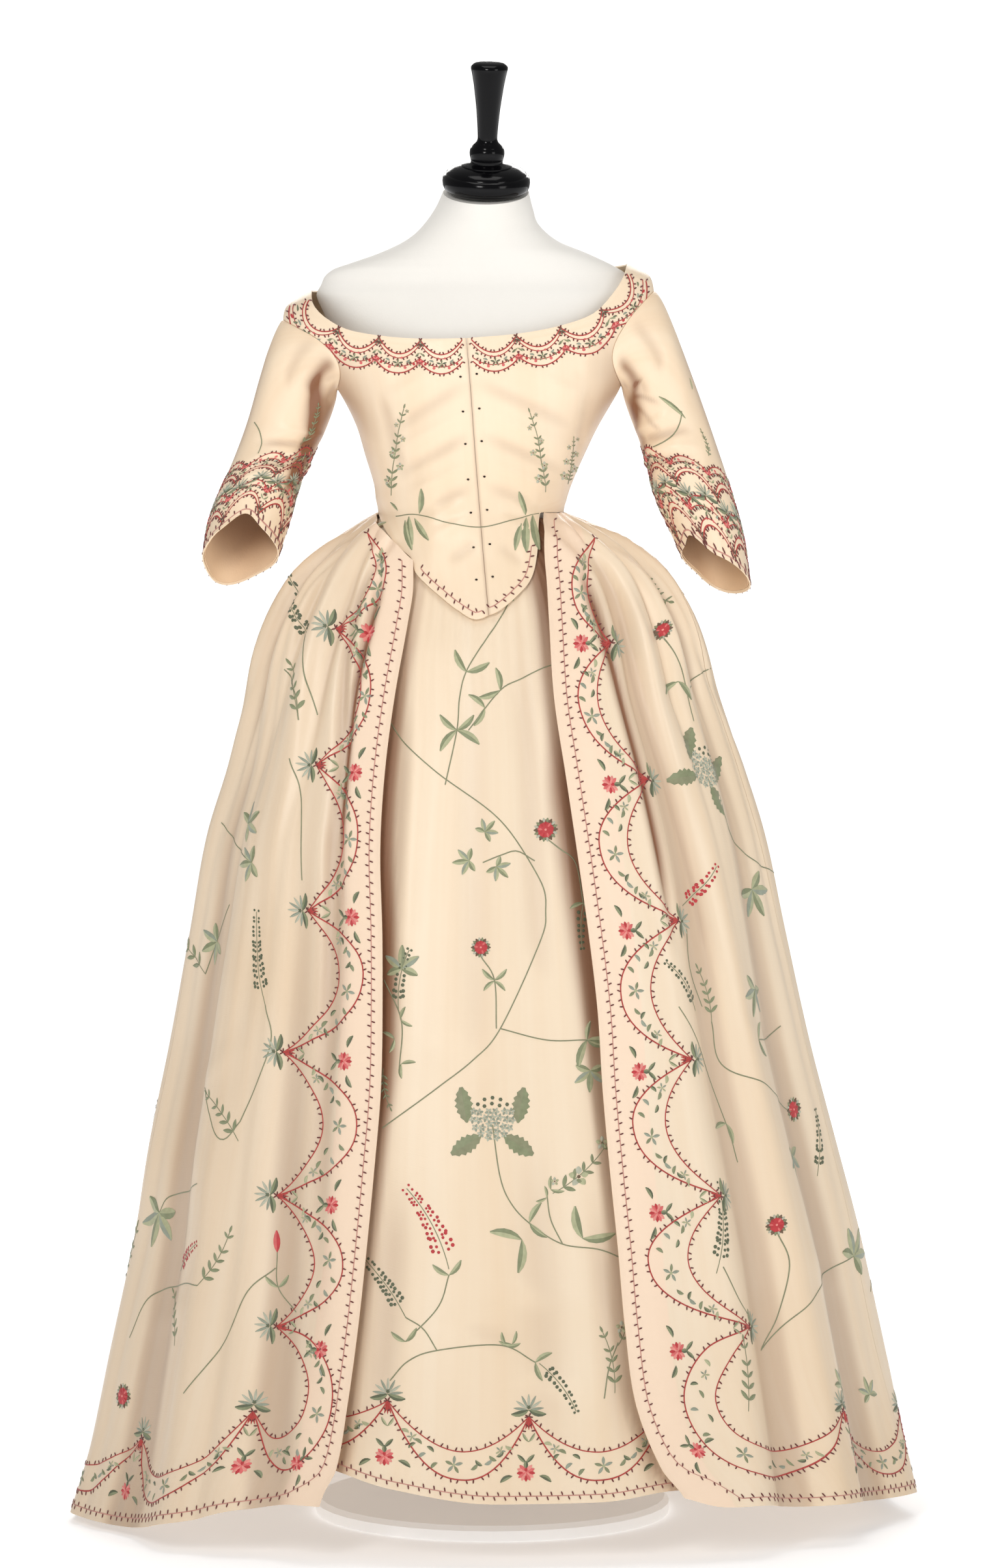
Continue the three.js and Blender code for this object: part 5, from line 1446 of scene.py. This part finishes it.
# The overskirt's two sides: the border follows front edge, corner and hem.
def onOverskirt(name, side, s, t):
    first = edgeAngle(name, t)
    angle = first
    for _ in range(8):
        angle = first + side * s / clothReach(first, angle, t) / radian
    return (angle - first) / (180 - first), t


coneTop, backShare = 1780.0, 0.72  # where the rolled-out back of the skirt is centred
overskirtBorder = {  # all as distance from the front edge and height
    "left": {
        "peaks": ((52, 1046), (82, 950), (81, 808), (86, 659), (115, 514), (111, 369), (97, 238)),
        "outer": (32, 27, 25, 22, 23, 24), "inner": (46, 38, 45, 52, 64, 58),
        "flowers": ((44, 947), (34, 801), (34, 654), (42, 508), (45, 363), (40, 218)),
        "top": 1020, "foot": 60, "edgeIn": 12,
        "turnOuter": ((97, 238), (54, 228), (22, 190), (20, 140), (52, 98), (84, 106), (109, 151)),
        "turnInner": ((97, 238), (66, 216), (48, 184), (50, 150), (68, 130), (88, 128), (109, 151))},
    "right": {
        "peaks": ((60, 1040), (67, 934), (92, 793), (104, 648), (99, 506), (119, 367), (142, 234)),
        "outer": (27, 27, 25, 27, 30, 32), "inner": (46, 48, 56, 60, 66, 76),
        "flowers": ((34, 934), (47, 789), (42, 640), (42, 497), (47, 355), (55, 216)),
        "top": 1062, "foot": 72, "edgeIn": 14,
        "turnOuter": ((142, 234), (86, 216), (54, 170), (62, 116), (104, 84), (160, 84), (206, 98),
                      (252, 135)),
        "turnInner": ((142, 234), (112, 206), (88, 168), (94, 132), (122, 112), (164, 106), (208, 114),
                      (252, 135))},
}
overskirtPlants = {  # kind, distance from the front edge, height, angle, size, ink of a spike
    "left": (
        ("spike", 112, 938, 128, 74, "dark"), ("sprig", 104, 852, 116, 66),
        ("starLeaves", 170, 744, 40, 24), ("starLeaves", 153, 704, 200, 22),
        ("spike", 135, 560, 98, 96, "dark"), ("sprig", 254, 585, 150, 74),
        ("spike", 340, 420, 96, 84, "dark"), ("starLeaves", 304, 333, -90, 34),
        ("blossom", 327, 140, 0, 27), ("sprig", 192, 269, 60, 66), ("spike", 250, 280, 34, 56, "red"),
        ("bud", 105, 312, 98, 22), ("starLeaves", 235, 620, 220, 24), ("sprig", 160, 420, 140, 70),
        ("starLeaves", 232, 860, 120, 20), ("sprig", 178, 1000, 60, 40),
        ("spike", 268, 770, 70, 60, "dark"), ("sprig", 230, 205, 120, 60),
        ("flowerHead", 420, 640, 90, 34), ("blossom", 470, 520, 0, 26), ("starLeaves", 400, 860, 60, 26),
        ("spike", 450, 300, 95, 90, "red"), ("sprig", 380, 250, 60, 70), ("blossom", 390, 780, 0, 25),
    ),
    "right": (
        ("blossom", 134, 946, 0, 19), ("flowerHead", 171, 800, 60, 40), ("starLeaves", 236, 674, -50, 30),
        ("spike", 118, 664, 40, 56, "red"), ("spike", 116, 556, 126, 62, "dark"),
        ("starLeaves", 205, 572, -100, 28), ("sprig", 141, 544, 100, 56), ("blossom", 272, 444, 0, 26),
        ("spike", 300, 372, 82, 66, "dark"), ("blossom", 195, 332, 0, 22),
        ("spike", 104, 290, 80, 92, "dark"), ("starLeaves", 350, 282, 60, 30),
        ("starLeaves", 263, 160, 70, 20), ("starLeaves", 345, 140, 110, 18), ("sprig", 118, 150, 80, 70),
        ("leafPair", 150, 892, -100, 26), ("leafPair", 196, 520, 0, 24),
        ("starLeaves", 250, 400, -80, 24), ("leafPair", 150, 440, -120, 22),
        ("sprig", 130, 1010, -50, 44), ("starLeaves", 196, 985, 10, 20), ("flowerHead", 430, 560, 90, 34),
        ("blossom", 420, 760, 0, 26), ("sprig", 340, 860, 60, 64), ("spike", 450, 380, 95, 90, "red"),
        ("spike", 250, 930, 96, 60, "dark"), ("sprig", 330, 620, 60, 60),
    ),
}
overskirtStems = {  # distance from the front edge and height of each stem's points
    "left": (
        ((104, 852), (112, 880), (140, 905)), ((153, 704), (190, 720), (230, 742)),
        ((110, 812), (95, 770), (92, 690)), ((112, 938), (104, 900), (88, 860)),
        ((254, 585), (236, 620), (205, 660)), ((135, 560), (128, 520), (160, 440)),
        ((304, 333), (290, 352), (250, 362), (215, 372)), ((192, 269), (230, 268), (300, 250), (330, 200)),
        ((105, 296), (130, 270), (150, 220), (190, 160)), ((160, 440), (178, 420), (196, 430), (222, 470)),
        ((420, 640), (400, 560), (350, 500)), ((470, 520), (450, 460), (460, 400)),
        ((390, 780), (380, 700), (330, 640)),
    ),
    "right": (
        ((134, 940), (150, 915), (158, 892), (165, 850)), ((171, 793), (200, 740), (250, 700), (311, 678)),
        ((141, 544), (150, 500), (205, 470), (272, 440)), ((195, 325), (205, 290), (190, 240), (165, 209)),
        ((88, 560), (120, 510), (150, 440), (160, 400)), ((165, 209), (210, 240), (270, 270), (350, 282)),
        ((112, 296), (130, 260), (150, 240)), ((196, 520), (230, 520), (262, 530)),
        ((120, 640), (116, 600), (130, 560)), ((430, 560), (410, 480), (350, 430)),
        ((420, 760), (400, 700), (360, 650)), ((450, 380), (430, 300), (380, 240)),
        ((170, 885), (200, 900), (236, 905)),
    ),
}


def embroiderOverskirt(name, side):
    look, toEdge = overskirtBorder[name], 0 if side > 0 else 180

    def flat(points):  # from distance and height to the panel's own way across
        return np.asarray(points, float) * (side, 1)

    toSurface = partial(onOverskirt, name, side)
    work = Needlework(f"overskirt_{name}", toSurface, partial(overskirtPoints, name), side, (0.002, 1.2))

    def hemLine(distance):
        height = np.full_like(distance, 60.0)
        for _ in range(3):
            share = toSurface(side * distance, height)[0]
            height = hemHeights[name](np.clip(share, 0, 1))
        return height

    top, foot, edge = look["top"], look["foot"], look["edgeIn"]
    low = [(edge, z) for z in range(top, foot + 60, -30)]
    low += [(edge + 3, foot + 44), (edge + 12, foot + 26), (edge + 28, foot + 14)]
    full = float(edgeDistance(name, 1.0, 90.0))
    along = np.linspace(edge + 44, full - 2, 160)
    hem = np.stack([along, hemLine(along) + 9], 1)
    edgeLine(work, flat(np.vstack([smoothPath(low, 4), hem])), side)
    peaks = look["peaks"]
    for first, last, outerFrom, innerFrom in zip(peaks, peaks[1:], look["outer"], look["inner"]):
        middle = (first[0] + last[0]) / 2
        scallop(work, flat(scallopPath(first, last, (-1, 0), middle - outerFrom, 2.3)),
                flat(scallopPath(first, last, (-1, 0), middle - innerFrom, 1.9)), -side)
    for place in peaks[1:]:
        peak(work, flat(place), toEdge)
    for place in look["flowers"]:
        carnationAt(work, flat(place), toEdge)
    scallop(work, flat(smoothPath(look["turnOuter"], 3)), flat(smoothPath(look["turnInner"], 3)), -side)
    corner = look["turnOuter"][-1]
    starts = np.linspace(corner[0], full, round((full - corner[0]) / 160) + 1)
    heights = hemLine(starts) + 90
    heights[0] = corner[1]
    hemPeaks = list(zip(starts, heights))
    for first, last in zip(hemPeaks, hemPeaks[1:]):
        hemHeight = float(hemLine(np.array([(first[0] + last[0]) / 2]))[0])
        hemScallop(work, first, last, hemHeight, 24, -side, flat)
    for e, z in hemPeaks[:-1]:
        peak(work, flat((e, z)), 90)
        carnationAt(work, flat((e, z - 55)), 90)
    carnationAt(work, flat((edge + 34, foot + 44)), 135 if side > 0 else 45, 0.9)
    for kind, e, z, angle, size, *ink in overskirtPlants[name]:
        work.motif(kind, flat((e, z)), angle, size, *ink, *([26 * side] if ink else []))
    for stem in overskirtStems[name]:
        work.stem(flat(stem))
    work.build()
    embroiderBack(name, side)


def onCone(name, side, share, height):  # a place on the rolled-out back of the skirt and the way that is up
    bend = edgeDistance(name, 1.0, height) / (coneTop - height) * (share - backShare) * side
    return (coneTop - height) * np.sin(bend), coneTop - (coneTop - height) * np.cos(bend), 90 + bend / radian


def offCone(name, side, s, t):  # the other way round
    reach = np.hypot(s, coneTop - t)
    height = coneTop - reach
    return backShare + side * np.arctan2(s, coneTop - t) * reach / edgeDistance(name, 1.0, height), height


def embroiderBack(name, side):  # scattered sprays beyond the sides
    draw = random.Random(19 if side > 0 else 23)
    work = Needlework(f"overskirt_back_{name}", partial(offCone, name, side), partial(overskirtPoints, name),
                      side, (0.002, 1.2))
    for row, height in enumerate(range(240, 960, 104)):
        full = float(edgeDistance(name, 1.0, float(height)))
        first = 520 / full
        count = max(1, int((1 - first) * full / 125))
        for i in range(count):
            share = first + (0.97 - first) * (i + 0.5 + 0.3 * (row % 2 - 0.5)) / count
            s, t, up = onCone(name, side, share, height + draw.uniform(-18, 18))
            place, turn = (s, t), up + draw.uniform(-50, 50)
            kind, size, *more = (("blossom", 24), ("spike", 70, "red", 30), ("starLeaves", 24),
                                 ("spike", 70, "dark", -30), ("flowerHead", 34))[(i + row * 2) % 5]
            work.stem(arcPath(place, turn + 180, 60, 50), 1.2)
            work.motif(kind, place, 0 if kind == "blossom" else turn, size, *more)
            if kind == "blossom":
                work.leafPair(stepFrom(place, turn + 180, 34), turn, 24)
            elif "red" in more:
                work.leafPair(place, turn, 22)
    work.build()


# The bodice: neckline band, edge line and sprigs.
def neckPath():
    stage, points = frontStages["neck"], []
    for name, side, shares in (("left", -1, np.linspace(0.93, 0.002, 44)),
                               ("right", 1, np.linspace(0.002, 0.93, 44))):
        angle, height = frontNet(name, side, np.zeros(44), stage + (1 - stage) * shares)
        points.append(ringPoints(bodiceRings, angle, height)[:, [0, 2]])
    return evenly(np.vstack(points), 3)


neckEdge = neckPath()
neckRun, neckWays = runOf(neckEdge), headings(neckEdge)[0]
onBodice = partial(fromFront, bodiceRings)


def onNeck(s, t):  # s along the neckline from its middle, t down from the edge as a negative number
    at = np.clip(np.asarray(s, float) + neckRun[-1] / 2, 0, neckRun[-1])
    x, z = (np.interp(at, neckRun, column) for column in neckEdge.T)
    dx, dz = (np.interp(at, neckRun, column) for column in neckWays.T)
    narrow = mix(1, 0.95, smoothStep(0.55, 0.97, np.abs(at / neckRun[-1] * 2 - 1)))
    return onBodice(x - dz * t * narrow, z + dx * t * narrow)


bandLines = (  # in from the edge, depth, lean of the barbs, width
    (2, 15, 1, 1.3), (6, 15.5, -1, 0.9), (21, 9, 1, 0.9), (25, 12, -1, 1.3),
)
bandMarks = (  # kind, beside the middle of a scallop, in from the edge, turn or radius, ink
    ("comma", 8, 25, -60, "grey"), ("comma", 13, 29, 30, "dark"), ("disc", 7.5, 31, 1.6, "pink"),
    ("comma", 17, 19, -50, "dark"), ("disc", 16, 27, 1.5, "red"), ("disc", 3.5, 21, 1.2, "pink"),
)


def narrowBand(work, start, stop, period, offset, turned=1):  # the small scallops of neckline and cuffs
    marks = np.linspace(start, stop, round((stop - start) / period) + 1)
    for a, b in zip(marks, marks[1:]):
        middle = (a + b) / 2
        for low, depth, lean, width in bandLines:
            level = offset - low * turned
            path = evenly(scallopPath((a, level), (b, level), (0, -turned), depth, 2.0), 3)
            work.ribbon(path, width, "line", 0.55)
            work.barbLine(path, 2.9, 4.6, lean * turned)
        work.smallStar((middle, offset - 27 * turned), 90, 4.6, ("leaf", "dark", "leaf"))
        for turn in (-1, 1):
            for kind, beside, inward, measure, ink in bandMarks:
                spot = (middle + turn * beside, offset - inward * turned)
                if kind == "comma":
                    work.comma(spot, 90 + turn * measure, 5 if ink == "grey" else 4.6, ink)
                else:
                    work.disc(spot, measure, ink, 0.7, 6)
    for mark in marks[1:-1]:
        work.carnation((mark, offset - 25 * turned), 90 * turned, 7.5)
        work.leafPair((mark, offset - 15 * turned), -90 * turned, 6, 50, "leaf")
        work.disc((mark, offset - 3 * turned), 1.8, "brown", 0.8, 6)
        work.petals((mark, offset - 4 * turned), 3, -130 * turned, 80 * turned, 1, 5, 1.8, ("dark",))


bodiceLeaves = (  # at the waist: across, height, angle, length
    (-77, 1069, 82, 27), (34, 1067, 102, 26), (-88, 1066, 276, 30), (-82, 1064, 302, 28),
    (-92, 1062, 282, 32), (35, 1064, 270, 36), (41, 1066, 282, 36), (30, 1058, 256, 28),
    (-100, 1072, 130, 12), (-112, 1060, 200, 14),
)
bodiceSprigs = ((-107, 1088, 82, 92, -16), (55, 1092, 100, 84, 16), (80, 1100, 82, 48, 16))


def onNape(s, t):  # the same band round the back of the neck
    return 180 + s / 2.0, 1318.5 + t * 0.9


def embroiderBodice():
    grain = bodicePoints, 1, (0.6, 1.0)
    band = Needlework("neckline", onNeck, *grain)
    seam = np.interp(centreFront(bodiceLook["neckCentre"]), neckEdge[:, 0], neckRun) - neckRun[-1] / 2
    narrowBand(band, 2 - neckRun[-1] / 2, seam - 4.5, 42, 0)
    narrowBand(band, seam + 5, neckRun[-1] / 2 - 2, 42, 0)
    band.build()
    nape = Needlework("nape", onNape, *grain)
    narrowBand(nape, -158, 158, 43, 0)
    nape.build()

    work = Needlework("bodice_front", onBodice, *grain)
    for name, side, last in (("left", -1, 0.54), ("right", 1, 0.53)):
        share = np.linspace(0.03, last, 40)
        lower = np.stack([lowerEdges[name]["x"](share), lowerEdges[name]["height"](share)], 1)
        edgeLine(work, lower + headings(lower)[1] * side * 7)
    work.stem(((-102, 1066), (-80, 1068), (-45, 1059), (-14, 1055), (13, 1060), (48, 1069)), 1.1)
    for x, z, angle, length in bodiceLeaves:
        work.leaf((x, z), angle, length, length * 0.24, "leaf", "pale", bend=14)
    for x, z, angle, length, bend in bodiceSprigs:
        work.sprig((x, z), angle, length, 0.09, 9, bend)
        for i in range(6):
            spot = stepFrom((x, z), angle, length * (0.16 + 0.16 * i))
            work.openFlower(stepFrom(spot, 10 if i % 2 else 170, 5), 20, 9 - i)
    work.build()


# The sleeves: two narrow bands at each cuff and sprigs above.
sleevePlants = {  # kind, across from the middle of the front, above the cuff's edge, angle, size
    "left": (("sprig", 30, 84, 88, 44), ("stem", -14, 84, 118, 52), ("sprig", -78, 88, 96, 50),
             ("leaf", 96, 100, 60, 26), ("stem", 86, 86, 70, 50)),
    "right": (("stem", -32, 82, 46, 74), ("leaf", 18, 128, 140, 28), ("sprig", 30, 90, 82, 30),
              ("leaf", 44, 168, 70, 14), ("sprig", 104, 88, 92, 54), ("stem", -90, 88, 80, 50)),
}
sleeveAround = 273  # how far it is round a sleeve


def onSleeve(name, s, t):
    turn = 270 + sleeves[name]["side"] * s / sleeveAround * 360
    outside, inside = sleeves[name]["lengths"]
    return turn, cuffRise(name, turn, 1 - t / mix(outside, inside, (1 - np.cos(turn * radian)) / 2))


def embroiderSleeve(name):
    half = sleeveAround / 2
    work = Needlework(f"sleeve_{name}", partial(onSleeve, name), partial(sleevePoints, name),
                      -sleeves[name]["side"], (0.8, 0.006))
    edgeLine(work, np.stack([np.linspace(-half, half, 80), np.full(80, 3.5)], 1))
    for offset in (3, 43):
        narrowBand(work, -half, half, 39, offset, -1)
    for i in range(14):
        work.starFlower((-130 + 19.5 * i, 38 + 5 * (i % 2)), 80 + 20 * (i % 2), 9)
    for kind, *place, angle, size in sleevePlants[name]:
        if kind == "sprig":
            work.sprig(place, angle, size, 0.15, 7)
        elif kind == "leaf":
            work.leaf(place, angle, size, size * 0.26, "leaf", "pale", bend=30)
        else:
            work.stem(arcPath(place, angle, size, 46), 1.1)
    work.build()


# Hooks down both sides of the centre front.
hookLook = {"heights": (1212, 1176, 1142, 1105, 1070, 1034, 1000), "left": -9.5, "right": 7.5, "rise": 3,
            "size": (3.4, 2.6, 1.7), "lift": 0.3}


def makeHooks():
    look = hookLook
    spots = np.array([(float(centreFront(z)) + away, z + rise) for z in look["heights"]
                      for away, rise in ((look["left"], 0), (look["right"], look["rise"]))])
    place = onBodice(*spots.T)
    out = normalsOf(bodicePoints, *place, 0.6, 1.0)
    vectors = {"along": np.tile([1.0, 0, 0], (len(spots), 1)), "up": out,
               "size": np.tile(look["size"], (len(spots), 1)) / 1000}
    points = bodicePoints(*place) + out * look["lift"]
    instanced("front_hooks", points, vectors, "brown", hookMetal)


embroiderPetticoat()
for sideName, sign in (("left", -1), ("right", 1)):
    embroiderOverskirt(sideName, sign)
    embroiderSleeve(sideName)
embroiderBodice()
makeHooks()
print("needlework and hooks made")
